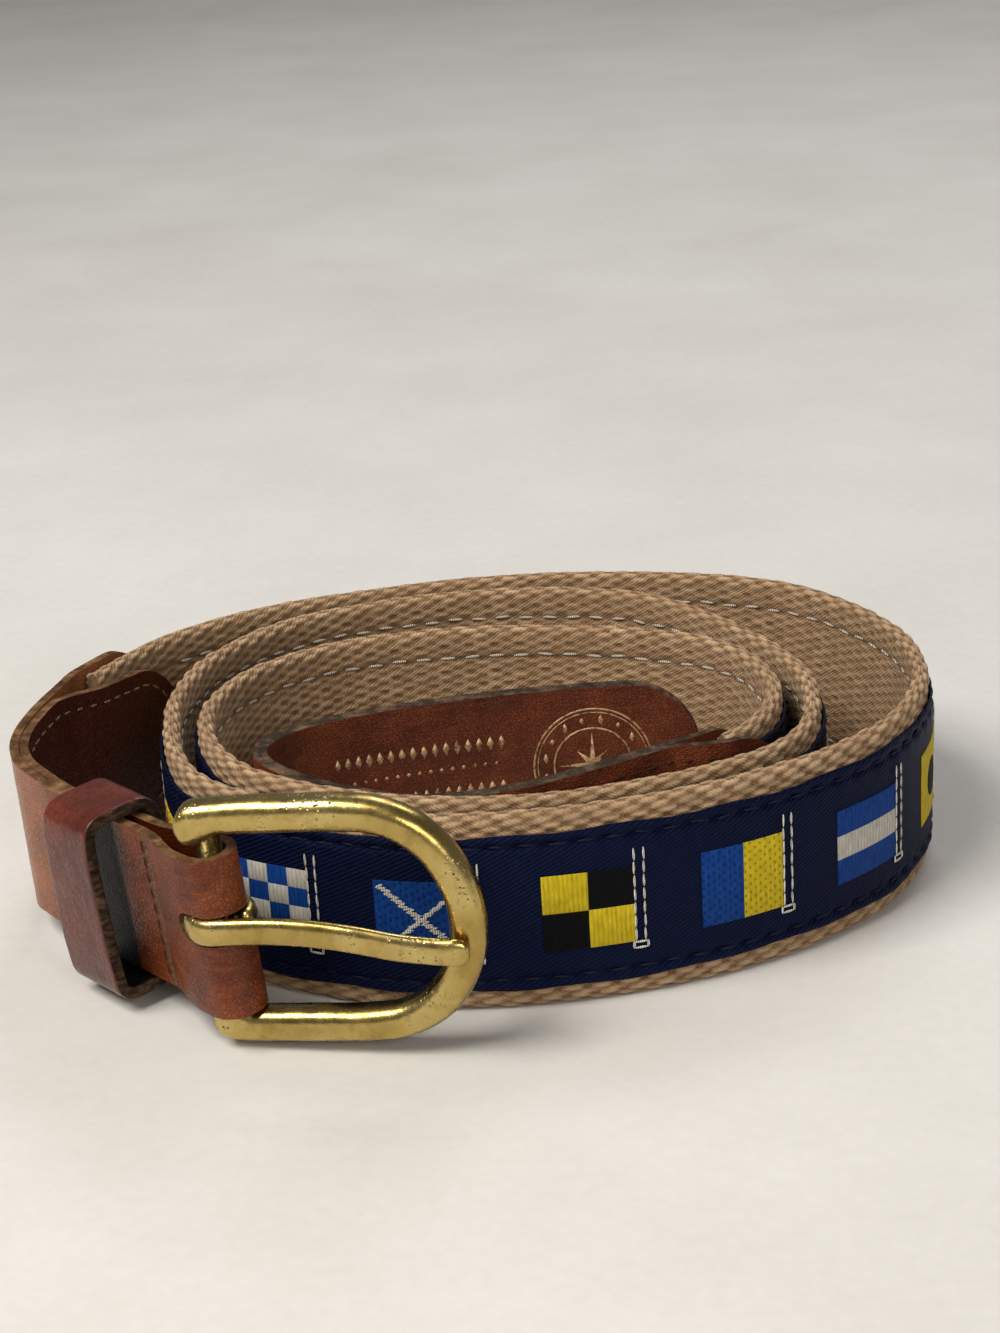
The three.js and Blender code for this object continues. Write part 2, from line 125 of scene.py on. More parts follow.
def onBelt(points):
    # Straight belt coordinates in millimetres to the coil, in metres
    centre, along, out, up = beltFrame(points[:, 0])
    return (centre + out * points[:, 1:2] + up * points[:, 2:3]) * mm


print("belt line:", round(beltLength, 1), "mm")


# Meshes

def toMesh(bm, name):
    mesh = bpy.data.meshes.new(name)
    bm.to_mesh(mesh)
    bm.free()
    return mesh


def toBmesh(mesh):
    bm = bmesh.new()
    bm.from_mesh(mesh)
    return bm


def gridMesh(name, columns, rows):
    # A unit sheet: X is the share along it and Y the share across
    bm = bmesh.new()
    bmesh.ops.create_grid(bm, x_segments=columns, y_segments=rows, size=0.5)
    bmesh.ops.translate(bm, verts=bm.verts, vec=(0.5, 0.5, 0))
    return toMesh(bm, name)


def readPoints(mesh):
    flat = np.empty(len(mesh.vertices) * 3)
    mesh.vertices.foreach_get("co", flat)
    return flat.reshape(-1, 3)


def writePoints(mesh, points):
    mesh.vertices.foreach_set("co", np.asarray(points, np.float32).ravel())
    mesh.update()


def lay(mesh, place=onBelt):
    # From millimetres, laid out flat, to the mesh's own place in metres
    writePoints(mesh, place(readPoints(mesh)))
    return mesh


def writePattern(mesh, pattern):
    # One UV value for each point, in millimetres on the flat pattern
    corner = np.empty(len(mesh.loops), np.int32)
    mesh.loops.foreach_get("vertex_index", corner)
    mesh.uv_layers.new(name="pattern").data.foreach_set("uv", np.asarray(pattern, np.float32)[corner].ravel())


def writeValue(mesh, name, values):
    layer = mesh.attributes.new(name, "FLOAT", "POINT")
    layer.data.foreach_set("value", np.asarray(values, np.float32))


def closeSkin(mesh, merge):
    bm = toBmesh(mesh)
    bmesh.ops.remove_doubles(bm, verts=bm.verts, dist=merge)
    bmesh.ops.holes_fill(bm, edges=[e for e in bm.edges if e.is_boundary], sides=0)
    bmesh.ops.recalc_face_normals(bm, faces=bm.faces)
    bm.to_mesh(mesh)
    bm.free()


def addPiece(name, mesh, materials, body, slot, replaces=(), rounding=0):
    piece = bpy.data.objects.new(name, mesh)
    bpy.context.scene.collection.objects.link(piece)
    for material in materials:
        mesh.materials.append(material)
    mesh.polygons.foreach_set("use_smooth", [True] * len(mesh.polygons))
    if rounding:
        subdivision = piece.modifiers.new("rounding", "SUBSURF")
        subdivision.levels = subdivision.render_levels = rounding
    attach(piece, body)
    if replaces:
        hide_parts(*replaces)
    return piece


# Materials

def newMaterial(name, **sockets):
    material = bpy.data.materials.new(name)
    material.use_nodes = True
    shader = material.node_tree.nodes["Principled BSDF"]
    for socket, value in sockets.items():
        shader.inputs[socket.replace("_", " ")].default_value = value
    return material, material.node_tree


def node(tree, kind, inputs=None, **settings):
    made = tree.nodes.new("ShaderNode" + kind)
    for key, value in settings.items():
        setattr(made, key, value)
    for key, value in (inputs or {}).items():
        if isinstance(value, bpy.types.NodeSocket):
            tree.links.new(value, made.inputs[key])
        else:
            made.inputs[key].default_value = value
    return made


def patternAt(tree, scale=(1, 1, 1), turn=0.0):
    spot = node(tree, "UVMap", uv_map="pattern").outputs["UV"]
    place = {"Vector": spot, "Scale": scale, "Rotation": (0, 0, turn)}
    return node(tree, "Mapping", place).outputs["Vector"]


def objectAt(tree, scale=(1, 1, 1)):
    spot = node(tree, "TexCoord").outputs["Object"]
    return node(tree, "Mapping", {"Vector": spot, "Scale": scale}).outputs["Vector"]


def attribute(tree, name):
    return node(tree, "Attribute", attribute_name=name).outputs["Fac"]


def speckle(tree, vector, scale, detail=3.0, rough=0.55):
    values = {"Vector": vector, "Scale": scale, "Detail": detail, "Roughness": rough}
    return node(tree, "TexNoise", values).outputs["Fac"]


def cells(tree, vector, scale, feature="F1"):
    values = {"Vector": vector, "Scale": scale, "Randomness": 1.0}
    return node(tree, "TexVoronoi", values, feature=feature).outputs["Distance"]


def lines(tree, vector, pitch, wobble, detailScale):
    # Straight ridges across X, one for each pitch
    values = {"Vector": vector, "Scale": math.pi / 10 / pitch, "Distortion": wobble, "Detail": 2.0,
              "Detail Scale": detailScale}
    return node(tree, "TexWave", values, wave_type="BANDS", bands_direction="X").outputs["Fac"]


def mathOf(tree, operation, a, b=0.0, clamp=False):
    return node(tree, "Math", {0: a, 1: b}, operation=operation, use_clamp=clamp).outputs[0]


def add(tree, a, b):
    return mathOf(tree, "ADD", a, b)


def less(tree, a, b):
    return mathOf(tree, "SUBTRACT", a, b)


def times(tree, a, b):
    return mathOf(tree, "MULTIPLY", a, b)


def centred(tree, value, size):
    # From 0 and 1 to the same size below and above zero
    return times(tree, less(tree, value, 0.5), size)


def blend(tree, a, share, b):
    # Two patterns in one, the first with the share given
    return add(tree, times(tree, a, share), times(tree, b, 1 - share))


def ramp(tree, value, stops):
    made = node(tree, "ValToRGB", {"Fac": value})
    band = made.color_ramp
    while len(band.elements) < len(stops):
        band.elements.new(0.5)
    for element, (at, colour) in zip(band.elements, stops):
        element.position = at
        element.color = (*colour, 1)
    return made.outputs["Color"]


def greyRamp(tree, value, low, high, fromValue=0.0, toValue=1.0):
    values = {"Value": value, "From Min": low, "From Max": high, "To Min": fromValue, "To Max": toValue}
    return node(tree, "MapRange", values).outputs["Result"]


def mixColour(tree, share, a, b):
    made = node(tree, "Mix", {0: share}, data_type="RGBA")
    for index, value in ((6, a), (7, b)):
        if isinstance(value, bpy.types.NodeSocket):
            tree.links.new(value, made.inputs[index])
        else:
            made.inputs[index].default_value = (*value, 1)
    return made.outputs[2]


def finished(material, colour, bumps=(), rough=None):
    # Links a colour, a roughness, and bumps on top of each other: (height, depth in metres)
    tree = material.node_tree
    shader = tree.nodes["Principled BSDF"]
    tree.links.new(colour, shader.inputs["Base Color"])
    if rough:
        tree.links.new(rough, shader.inputs["Roughness"])
    normal = None
    for height, depth in bumps:
        values = {"Height": height, "Distance": depth, "Strength": 1.0}
        if normal:
            values["Normal"] = normal
        normal = node(tree, "Bump", values).outputs["Normal"]
    if normal:
        tree.links.new(normal, shader.inputs["Normal"])
    return material


def cottonMaterial():
    material, tree = newMaterial("cottonYarn", Roughness=0.95, Sheen_Weight=0.12, Sheen_Roughness=0.5,
                                 Sheen_Tint=(0.9, 0.8, 0.66, 1), Specular_IOR_Level=0.2)
    place = patternAt(tree)
    twist = lines(tree, patternAt(tree, turn=0.95), 0.47, 2.6, 1.1)
    fuzz = speckle(tree, place, 3.2, 5.0, 0.75)
    yarn = speckle(tree, patternAt(tree, (0.5, 1.4, 1)), 0.9, 2.0)
    broad = speckle(tree, place, 0.035, 2.0)
    depth = add(tree, attribute(tree, "relief"), centred(tree, fuzz, 0.85))
    depth = add(tree, depth, centred(tree, twist, 0.12))
    # colour from the weave's height: the low parts darkened, painted shade in the crevices between the yarns
    colour = ramp(tree, depth, [(0.05, (0.060, 0.030, 0.013)), (0.30, (0.23, 0.126, 0.060)),
                                (0.60, (0.45, 0.283, 0.150)), (0.95, (0.66, 0.455, 0.275))])
    colour = mixColour(tree, greyRamp(tree, yarn, 0.35, 0.75, 0.0, 0.35), colour, (0.52, 0.355, 0.22))
    colour = mixColour(tree, greyRamp(tree, broad, 0.4, 0.7, 0.0, 0.3), colour, (0.33, 0.195, 0.09))
    return finished(material, colour, [(twist, 0.00010), (fuzz, 0.00032)])


def satinMaterial():
    material, tree = newMaterial("navySatin", Roughness=0.55, Specular_IOR_Level=0.12,
                                 Specular_Tint=(0.35, 0.5, 1.0, 1))
    twill = lines(tree, patternAt(tree, turn=math.radians(-62)), 0.62, 0.4, 0.6)
    warp = lines(tree, patternAt(tree, turn=math.radians(90)), 0.2, 0.6, 1.0)
    fuzz = speckle(tree, patternAt(tree), 3.2)
    broad = speckle(tree, patternAt(tree, (0.3, 1, 1)), 0.12, 2.0)
    raised = times(tree, twill, greyRamp(tree, fuzz, 0.3, 0.75, 0.35, 1.0))
    colour = ramp(tree, raised, [(0.12, (0.0012, 0.0016, 0.0075)), (0.55, (0.0036, 0.0058, 0.030)),
                                 (1.0, (0.011, 0.019, 0.085))])
    colour = mixColour(tree, greyRamp(tree, broad, 0.35, 0.75, 0.0, 0.5), colour, (0.0026, 0.0042, 0.022))
    return finished(material, colour, [(twill, 0.00010), (warp, 0.00003)])


flatStitch = {"column": 0.86, "pitch": 1.35, "shift": 0.36, "tall": 0.9, "dot": (0.08, 0.30)}


def stitchDots(tree):
    # Slanting rows of dots where the ends of flat stitches go down, dark at 0
    d = flatStitch
    spot = node(tree, "SeparateXYZ", {"Vector": patternAt(tree)}).outputs
    column = mathOf(tree, "DIVIDE", spot[0], d["column"])
    shift = times(tree, mathOf(tree, "FLOOR", column), d["shift"])
    row = add(tree, mathOf(tree, "DIVIDE", spot[1], d["pitch"]), shift)
    x = centred(tree, mathOf(tree, "FRACT", column), d["column"])
    y = centred(tree, mathOf(tree, "FRACT", row), d["tall"])
    away = mathOf(tree, "SQRT", add(tree, mathOf(tree, "POWER", x, 2.0), mathOf(tree, "POWER", y, 2.0)))
    return greyRamp(tree, away, *d["dot"])


def silkMaterial(name, dark, light, gap, dotted=False):
    # Flag thread: upright ribs of fine fibre, or flat stitching with dots
    material, tree = newMaterial(name, Roughness=0.6, Specular_IOR_Level=0.1)
    fibre = lines(tree, patternAt(tree), 0.13, 1.5, 2.0)
    uneven = speckle(tree, patternAt(tree, (2.2, 0.5, 1)), 1.0)
    colour = mixColour(tree, greyRamp(tree, uneven, 0.3, 0.7), dark, light)
    colour = mixColour(tree, greyRamp(tree, fibre, 0.0, 0.5, 0.35, 0.0), colour, gap)
    if dotted:
        relief, darkest, depth = stitchDots(tree), 0.75, 0.00014
    else:
        relief, darkest, depth = lines(tree, patternAt(tree), 0.7, 1.2, 0.8), 0.3, 0.00006
    colour = mixColour(tree, greyRamp(tree, relief, 0.0, 0.6, darkest, 0.0), colour, gap)
    return finished(material, colour, [(relief, depth), (fibre, 0.00004)])


def threadMaterial(name, dark, light, roughness=0.6):
    material, tree = newMaterial(name, Roughness=roughness, Specular_IOR_Level=0.2)
    ply = lines(tree, objectAt(tree, (1000, 700, 1000)), 0.35, 3.0, 1.0)
    fuzz = speckle(tree, objectAt(tree), 2600)
    value = times(tree, ply, greyRamp(tree, fuzz, 0.3, 0.7, 0.5, 1.0))
    colour = ramp(tree, value, [(0.05, dark), (0.7, light)])
    return finished(material, colour, [(ply, 0.00005), (fuzz, 0.00004)])


def leatherMaterial(name, tones, gloss, grain=1.5, shaded=(0.050, 0.0065, 0.0016), coat=0.08, relief=1.0):
    # tones: deep, middle and pale. The grain is in cells for each millimetre.
    material, tree = newMaterial(name, Coat_Roughness=0.35, Coat_Weight=coat, Specular_IOR_Level=0.26)
    deep, mid, pale = tones
    place = patternAt(tree)
    pebble = cells(tree, place, grain, "DISTANCE_TO_EDGE")
    pore = cells(tree, place, grain * 1.9)
    fine = speckle(tree, place, 6.0, 4.0, 0.6)
    cloud = speckle(tree, place, 0.11, 3.0, 0.6)
    streak = speckle(tree, patternAt(tree, (0.25, 1.2, 1)), 0.8)
    torn = speckle(tree, place, 2.4, 4.0, 0.7)
    tone = blend(tree, cloud, 0.65, fine)
    crease = greyRamp(tree, pebble, 0.0, 0.16, 0.55, 0.0)
    colour = ramp(tree, tone, [(0.33, deep), (0.5, mid), (0.7, pale)])
    colour = mixColour(tree, crease, colour, tuple(0.55 * c for c in deep))
    colour = mixColour(tree, greyRamp(tree, streak, 0.5, 0.8, 0.0, 0.35), colour, pale)
    # the shade attribute mixes in the shaded colour: painted shade, on the tab's inner leg with darker
    # leather as well
    colour = mixColour(tree, times(tree, attribute(tree, "shade"), 0.88), colour, shaded)
    faded = times(tree, attribute(tree, "faded"), greyRamp(tree, tone, 0.35, 0.6, 0.45, 0.8))
    colour = mixColour(tree, faded, colour, (0.34, 0.122, 0.047))
    # painted shadow: near black where this attribute is set, for the shade inside the keeper's pocket
    pocketShadow = attribute(tree, "pocketShadow")
    colour = mixColour(tree, pocketShadow, colour, (0.004, 0.003, 0.003))
    # a rough worn line, where the value called scar comes near 10
    scar = greyRamp(tree, add(tree, attribute(tree, "scar"), torn), 9.7, 9.95)
    tornColour = ramp(tree, torn, [(0.42, (0.020, 0.008, 0.004)), (0.62, (0.26, 0.14, 0.065))])
    colour = mixColour(tree, scar, colour, tornColour)
    rough = add(tree, greyRamp(tree, fine, 0.3, 0.7, gloss - 0.08, gloss + 0.1),
                add(tree, times(tree, crease, 0.2), times(tree, pocketShadow, 0.25)))
    dome = greyRamp(tree, pebble, 0.0, 0.3)
    bumps = [(less(tree, 1.0, scar), 0.0003), (cloud, 0.0006), (dome, 0.00010 * relief),
             (pore, 0.00003 * relief), (fine, 0.00006 * relief)]
    return finished(material, colour, bumps, rough)


def edgeMaterial(name, dark, mid, pale):
    # Cut edge: layers of fibre, part of it still under worn edge paint
    material, tree = newMaterial(name, Roughness=0.9, Specular_IOR_Level=0.12)
    fibre = speckle(tree, objectAt(tree, (500, 500, 1400)), 1.0, 5.0, 0.7)
    patch = speckle(tree, objectAt(tree), 160, 3.0, 0.6)
    colour = ramp(tree, blend(tree, fibre, 0.6, patch), [(0.36, dark), (0.5, mid), (0.66, pale)])
    return finished(material, colour, [(fibre, 0.00022), (patch, 0.0002)])


def brassMaterial(name="wornBrass", shadeShare=0.0):
    material, tree = newMaterial(name, Metallic=1.0)
    place = objectAt(tree)
    cloud = speckle(tree, place, 70, 3.0, 0.6)
    smear = speckle(tree, place, 420, 4.0, 0.7)
    pitted = greyRamp(tree, cloud, 0.53, 0.64, 0.0, 0.9)
    pit = greyRamp(tree, cells(tree, place, 1300.0), 0.12, 0.30, 1.0, 0.0)
    pit = mathOf(tree, "MULTIPLY", pit, pitted, clamp=True)
    colour = ramp(tree, cloud, [(0.3, (0.36, 0.25, 0.068)), (0.5, (0.51, 0.375, 0.125)),
                                (0.72, (0.63, 0.50, 0.205))])
    colour = mixColour(tree, greyRamp(tree, smear, 0.52, 0.72, 0.0, 0.5), colour, (0.26, 0.155, 0.038))
    colour = mixColour(tree, pit, colour, (0.06, 0.035, 0.012))
    # painted shade: darker by the share given, for the heel bar in the shadow of the leather fold
    colour = mixColour(tree, shadeShare, colour, (0.035, 0.022, 0.009))
    rough = add(tree, greyRamp(tree, smear, 0.35, 0.7, 0.20, 0.36), times(tree, pit, 0.35))
    bumps = [(cloud, 0.0005), (smear, 0.00005), (less(tree, 1.0, pit), 0.00010)]
    return finished(material, colour, bumps, rough)


def foilMaterial():
    material, tree = newMaterial("goldFoil", Metallic=0.3)
    worn = speckle(tree, objectAt(tree), 900, 4.0, 0.7)
    share = greyRamp(tree, worn, 0.38, 0.52, 1.0, 0.0)
    colour = mixColour(tree, share, (0.52, 0.34, 0.17), (0.13, 0.035, 0.015))
    return finished(material, colour, rough=greyRamp(tree, worn, 0.3, 0.7, 0.6, 0.38))


def floorMaterial():
    material, tree = newMaterial("paleFloor", Roughness=0.7)
    broad = speckle(tree, objectAt(tree), 14, 4.0, 0.6)
    grit = speckle(tree, objectAt(tree), 420)
    colour = ramp(tree, blend(tree, broad, 0.7, grit), [(0.3, (0.60, 0.58, 0.54)), (0.7, (0.70, 0.68, 0.65))])
    return finished(material, colour, [(grit, 0.00005)])


cotton = cottonMaterial()
satin = satinMaterial()
navyThread = threadMaterial("navyThread", (0.0015, 0.002, 0.007), (0.008, 0.011, 0.035))
whiteThread = threadMaterial("whiteThread", (0.30, 0.28, 0.24), (0.80, 0.78, 0.72))
darkThread = threadMaterial("darkThread", (0.006, 0.004, 0.003), (0.03, 0.018, 0.012), 0.5)
beigeThread = threadMaterial("beigeThread", (0.10, 0.055, 0.028), (0.36, 0.24, 0.14))
bobbinThread = threadMaterial("bobbinThread", (0.22, 0.19, 0.15), (0.62, 0.57, 0.49))
tabTones = ((0.050, 0.0075, 0.0015), (0.158, 0.029, 0.0055), (0.30, 0.078, 0.017))
keeperTones = ((0.048, 0.0075, 0.004), (0.100, 0.0165, 0.008), (0.165, 0.036, 0.018))
billetTones = ((0.050, 0.008, 0.0016), (0.135, 0.025, 0.0050), (0.23, 0.056, 0.013))
tabLeather = leatherMaterial("tabLeather", tabTones, 0.25)
keeperLeather = leatherMaterial("keeperLeather", keeperTones, 0.24, 1.2, (0.004, 0.003, 0.003), 0.22, 0.35)
billetLeather = leatherMaterial("billetLeather", billetTones, 0.45, 1.8)
paintedEdge = edgeMaterial("paintedEdge", (0.012, 0.008, 0.006), (0.040, 0.027, 0.018), (0.16, 0.10, 0.058))
rawEdge = edgeMaterial("rawEdge", (0.028, 0.012, 0.005), (0.105, 0.051, 0.021), (0.26, 0.148, 0.070))
darkEdge = edgeMaterial("darkEdge", (0.006, 0.004, 0.0025), (0.026, 0.015, 0.009), (0.12, 0.075, 0.042))
brass = brassMaterial()
# a darkened brass for the heel bar: painted shade inside the leather fold
shadedBrass = brassMaterial("paintedShadeBrass", 0.88)
foil = foilMaterial()
print("materials ready")


# Webbing

webbing = {
    "start": 84.0,
    "end": 894.17,
    "halfWidth": 16.25,
    "halfThick": 1.5,
    "offset": 0.15,  # middle of its thickness, out from the belt's line
    "pick": 2.2,  # spacing of the cross yarns
    "perPick": 5,  # mesh columns for each
    "floatShare": 0.74,
    "outerRow": 0.88,
    "rimRow": 1.17,
    "innerRow": 0.82,
    "relief": 0.52,
    "plain": 0.35,  # height where the ribbon hides the weave
    "gap": 0.2,  # height between the yarns
    "untidy": 0.16,  # how far a row strays, in picks
    "least": 0.66,  # height of the lowest float
    "rowHalf": 0.72,
    "rimSlant": 0.22,  # how far a rim's yarns lean, in picks for each millimetre
    "seamAt": 11.0,  # where the ribbon's stitches pull the inner face in
    "seamHalf": 0.45,
    "faceLines": 13,
    "rimLines": 18,
    "backLines": 62,
    "underRibbon": 11.6,
    "turns": (429.0, 740.0),  # where one mesh ends and the next begins
}
hiddenZone, faceZone, rimZone, backZone = range(4)


def scrambled(a, b):
    # The same untidy share between 0 and 1 for the same pair of numbers
    return np.modf(np.abs(np.sin(a * 12.9898 + b * 78.233) * 43758.5453))[0]


def weave(distance, across, row):
    # Height of a plain weave: floats along the belt, every other row moved by one pick
    w = webbing
    height = np.full_like(distance, w["gap"])
    for near in (0, 1):
        number = np.floor(across / row) + near
        beat = distance / w["pick"] + number + w["untidy"] * scrambled(number, 3)
        phase = beat % 2 - 1
        lively = w["least"] + (1 - w["least"]) * scrambled(number, np.floor(beat / 2))
        along = np.sqrt(np.clip(1 - np.abs(phase / w["floatShare"]) ** 2.4, 0, None))
        side = np.clip(1 - np.abs((across / row - number) / w["rowHalf"]) ** 2.2, 0, None)
        height = np.maximum(height, along * side * lively)
    return height


def rimWeave(distance, around):
    # The edge's yarns lean over as they go round it
    lean = distance - webbing["rimSlant"] * webbing["pick"] * around
    return weave(lean, around, webbing["rimRow"])


def webbingRows():
    # One row for each line of the section: out, up, normal out, normal up, zone, arc length round an edge
    w = webbing
    r = w["halfThick"]
    a = w["halfWidth"] - r
    hidden = w["underRibbon"]
    turn = [(t, math.cos(t), math.sin(t)) for t in np.linspace(0, math.pi, w["rimLines"])[:-1]]
    quarter = math.pi / 2

    def level(zone, side, ups):
        return [(side * r, up, side, 0, zone, 0) for up in ups]

    rows = level(hiddenZone, 1, (0, -6)) + level(faceZone, 1, np.linspace(-hidden, -a, w["faceLines"])[:-1])
    rows += [(r * c, -a - r * s, c, -s, rimZone, r * (quarter - t)) for t, c, s in turn]
    rows += level(backZone, -1, np.linspace(-a, a, w["backLines"])[:-1])
    rows += [(-r * c, a + r * s, -c, s, rimZone, r * (t - quarter)) for t, c, s in turn]
    rows += level(faceZone, 1, np.linspace(a, hidden, w["faceLines"])[:-1])
    rows += level(hiddenZone, 1, (hidden, 6, 0))
    return np.array(rows)


def webbingTurn(name, start, end):
    w = webbing
    rows = webbingRows()
    columns = int(round((end - start) / w["pick"] * w["perPick"]))
    mesh = gridMesh(name, columns, len(rows) - 1)
    share = readPoints(mesh)
    distance = start + share[:, 0] * (end - start)
    out, up, normalOut, normalUp, zone, around = rows[np.rint(share[:, 1] * (len(rows) - 1)).astype(int)].T
    height = np.full(len(distance), w["plain"])
    face, rim, back = zone == faceZone, zone == rimZone, zone == backZone
    height[face] = weave(distance[face], up[face] + 0.31, w["outerRow"])
    height[rim] = rimWeave(distance[rim], around[rim])
    height[back] = weave(distance[back] + 0.7, up[back], w["innerRow"])
    seam = np.exp(-(((np.abs(up) - w["seamAt"]) / w["seamHalf"]) ** 2)) * back
    height = height * (1 - 0.75 * seam)
    # the last row of each face meets the rim
    meet = np.clip((w["halfWidth"] - w["halfThick"] - np.abs(up)) / 0.7, 0, 1)
    border = rimWeave(distance, np.sign(normalOut) * w["halfThick"] * math.pi / 2)
    height = np.where(rim, height, height * meet + border * (1 - meet))
    wander = 0.12 * np.sin(distance / 17.0 + 1.3) + 0.08 * np.sin(distance / 6.3)
    lift = -w["relief"] * (1 - height)
    out = out + w["offset"] + normalOut * lift
    up = up + normalUp * lift + wander * np.clip((up + 12) / 28, 0, 1) * 0.5
    up = np.minimum(up, w["halfWidth"] + 0.1)
    writePattern(mesh, np.stack([distance, up + (normalOut < 0) * 40], 1))  # the back lies apart
    # the weave's height: the cotton's colour paints shade into its low parts
    writeValue(mesh, "relief", height)
    writePoints(mesh, np.stack([distance, out, up], 1))
    closeSkin(mesh, 0.004)
    return lay(mesh)


turnEnds = [webbing["start"], *webbing["turns"], webbing["end"]]
for number, (start, end) in enumerate(zip(turnEnds, turnEnds[1:]), 1):
    name = f"webbing_turn_{number}"
    addPiece(name, webbingTurn(name, start, end), [cotton], "belt", "webbing_cotton",
             ("webbing",) if number == 1 else ())
print("webbing woven")


# Ribbon

ribbon = {
    "start": 85.0,
    "end": 893.0,
    "halfWidth": 12.7,
    "surface": 2.2,
    "thick": 0.35,
    "under": 1.82,  # no part of its back lies higher
    "flat": 9.6,  # half width between the seams
    "seamAt": 11.0,
    "stitch": 4.3,
    "perStitch": 6,  # mesh columns for each
    "groove": 0.42,
    "pucker": 0.14,
    "swell": 0.06,
    "lip": 0.10,
    "edgeDrop": 0.16,
}


def ribbonMesh():
    r = ribbon
    half, flat = r["halfWidth"], r["flat"]
    edge = np.linspace(half, flat, 15)
    face = [*edge[:-1], *np.linspace(flat, -flat, 17)[:-1], *np.linspace(-flat, -half, 15)]
    rows = np.array([(1, up) for up in face] + [(0, up) for up in np.linspace(-half, half, 7)] + [(1, half)])
    columns = int((r["end"] - r["start"]) / r["stitch"] * r["perStitch"])
    mesh = gridMesh("flag_ribbon", columns, len(rows) - 1)
    share = readPoints(mesh)
    distance = r["start"] + share[:, 0] * (r["end"] - r["start"])
    top, up = rows[np.rint(share[:, 1] * (len(rows) - 1)).astype(int)].T
    near = np.abs(up) - r["seamAt"]
    beat = np.cos(2 * math.pi * distance / r["stitch"])
    groove = r["groove"] * np.exp(-((near / 0.5) ** 2)) * (1 - 0.3 * beat)
    lip = np.clip(near / 0.9, 0, 1)
    pucker = r["pucker"] * beat * np.exp(-((near / 1.5) ** 2))
    swell = r["swell"] * np.sin(distance / 9.7) * np.cos(up / 5.0)
    surface = r["surface"] - groove + pucker + swell * (np.abs(up) < 10)
    surface = surface + r["lip"] * lip * np.sin(distance / 3.1 + up)
    surface = surface - r["edgeDrop"] * np.clip((np.abs(up) - 12.3) / 0.4, 0, 1)
    out = np.where(top > 0, surface, np.minimum(surface - r["thick"], r["under"]))
    edge = 0.16 * np.sin(distance / 2.7) + 0.12 * np.sin(distance / 7.9 + 2)
    up = up + np.sign(up) * edge * np.clip((np.abs(up) - 11.6), 0, 1)
    writePattern(mesh, np.stack([distance, up], 1))
    writePoints(mesh, np.stack([distance, out, up], 1))
    closeSkin(mesh, 0.002)
    return lay(mesh)


addPiece("flag_ribbon_satin", ribbonMesh(), [satin], "belt", "ribbon_satin", ("flag_ribbon",))
print("ribbon laid")


# Stitches

def beadTemplate(length, width, thick):
    bm = bmesh.new()
    bmesh.ops.create_uvsphere(bm, u_segments=8, v_segments=6, radius=0.5)
    bmesh.ops.rotate(bm, verts=bm.verts, cent=(0, 0, 0), matrix=Matrix.Rotation(math.pi / 2, 3, "Y"))
    bmesh.ops.scale(bm, verts=bm.verts, vec=(length, thick, width))
    return toMesh(bm, "bead")


def strew(name, template, places):
    # Copies of a small shape at (distance, out, up, turn about the belt's outward direction)
    bm = bmesh.new()
    for distance, out, up, turn in places:
        copy = template.copy()
        copy.transform(Matrix.Translation((distance, out, up)) @ Matrix.Rotation(turn, 4, "Y"))
        bm.from_mesh(copy)
        bpy.data.meshes.remove(copy)
    return lay(toMesh(bm, name))


def sew(name, size, places, thread, slot, *replaced):
    addPiece(name, strew(name, beadTemplate(*size), places), [thread], "belt", slot, replaced)


longSeams = {
    "from": 106.0,
    "to": 882.0,
    "pitch": 4.3,
    "front": 1.9,
    "back": -1.06,
    "navy": (3.1, 0.5, 0.4),  # length, width and thickness of a stitch
    "bobbin": (2.7, 0.55, 0.45),
}


def longSeam(out, up):
    s = longSeams
    count = int((s["to"] - s["from"]) / s["pitch"])
    return [(s["from"] + (k + 0.5) * s["pitch"], out + random.uniform(-0.03, 0.03),
             up + random.uniform(-0.16, 0.16), random.uniform(-0.10, 0.10)) for k in range(count)]


for side, word in ((1, "upper"), (-1, "lower")):
    seamUp = side * ribbon["seamAt"]
    sew(f"ribbon_stitches_{word}", longSeams["navy"], longSeam(longSeams["front"], seamUp), navyThread,
        "navy_thread", f"ribbon_seam_{word}")
    sew(f"bobbin_stitches_{word}", longSeams["bobbin"], longSeam(longSeams["back"], seamUp), bobbinThread,
        "white_thread", f"bobbin_seam_{word}")
print("long seams sewn")


# Flags, right way up with the hoist at x 0: each design is a list of (colour, layer, shape)

def bar(x0, y0, x1, y1):
    return [(x0, y0), (x1, y0), (x1, y1), (x0, y1)]


def disc(x, y, radius, sides=28):
    # 1.1 makes it round on a flag that is wider than high
    turns = [2 * math.pi * k / sides for k in range(sides)]
    return [(x + radius * math.cos(turn), y + radius * math.sin(turn) * 1.1) for turn in turns]


whole = bar(0, 0, 1, 1)
swallow = [(0, 0), (1, 0), (0.78, 0.5), (1, 1), (0, 1)]
crossArm = 0.085
saltire = [
    [(0, 0), (crossArm, 0), (1, 1 - crossArm), (1, 1), (1 - crossArm, 1), (0, crossArm)],
    [(0, 1), (0, 1 - crossArm), (1 - crossArm, 0), (1, 0), (1, crossArm), (crossArm, 1)],
]
checks = [bar(x / 4, y / 4, (x + 1) / 4, (y + 1) / 4) for x in range(4) for y in range(4) if (x + y) % 2 == 0]
slants = []
for k in range(5):
    low, high = -0.8 + 0.4 * k, -0.6 + 0.4 * k
    edge = [(max(low, 0), max(-low, 0)), (max(high, 0), max(-high, 0)),
            (min(1 + high, 1), 1 - max(high, 0)), (min(1 + low, 1), 1 - max(low, 0))]
    slants.append([point for i, point in enumerate(edge) if point != edge[i - 1]])
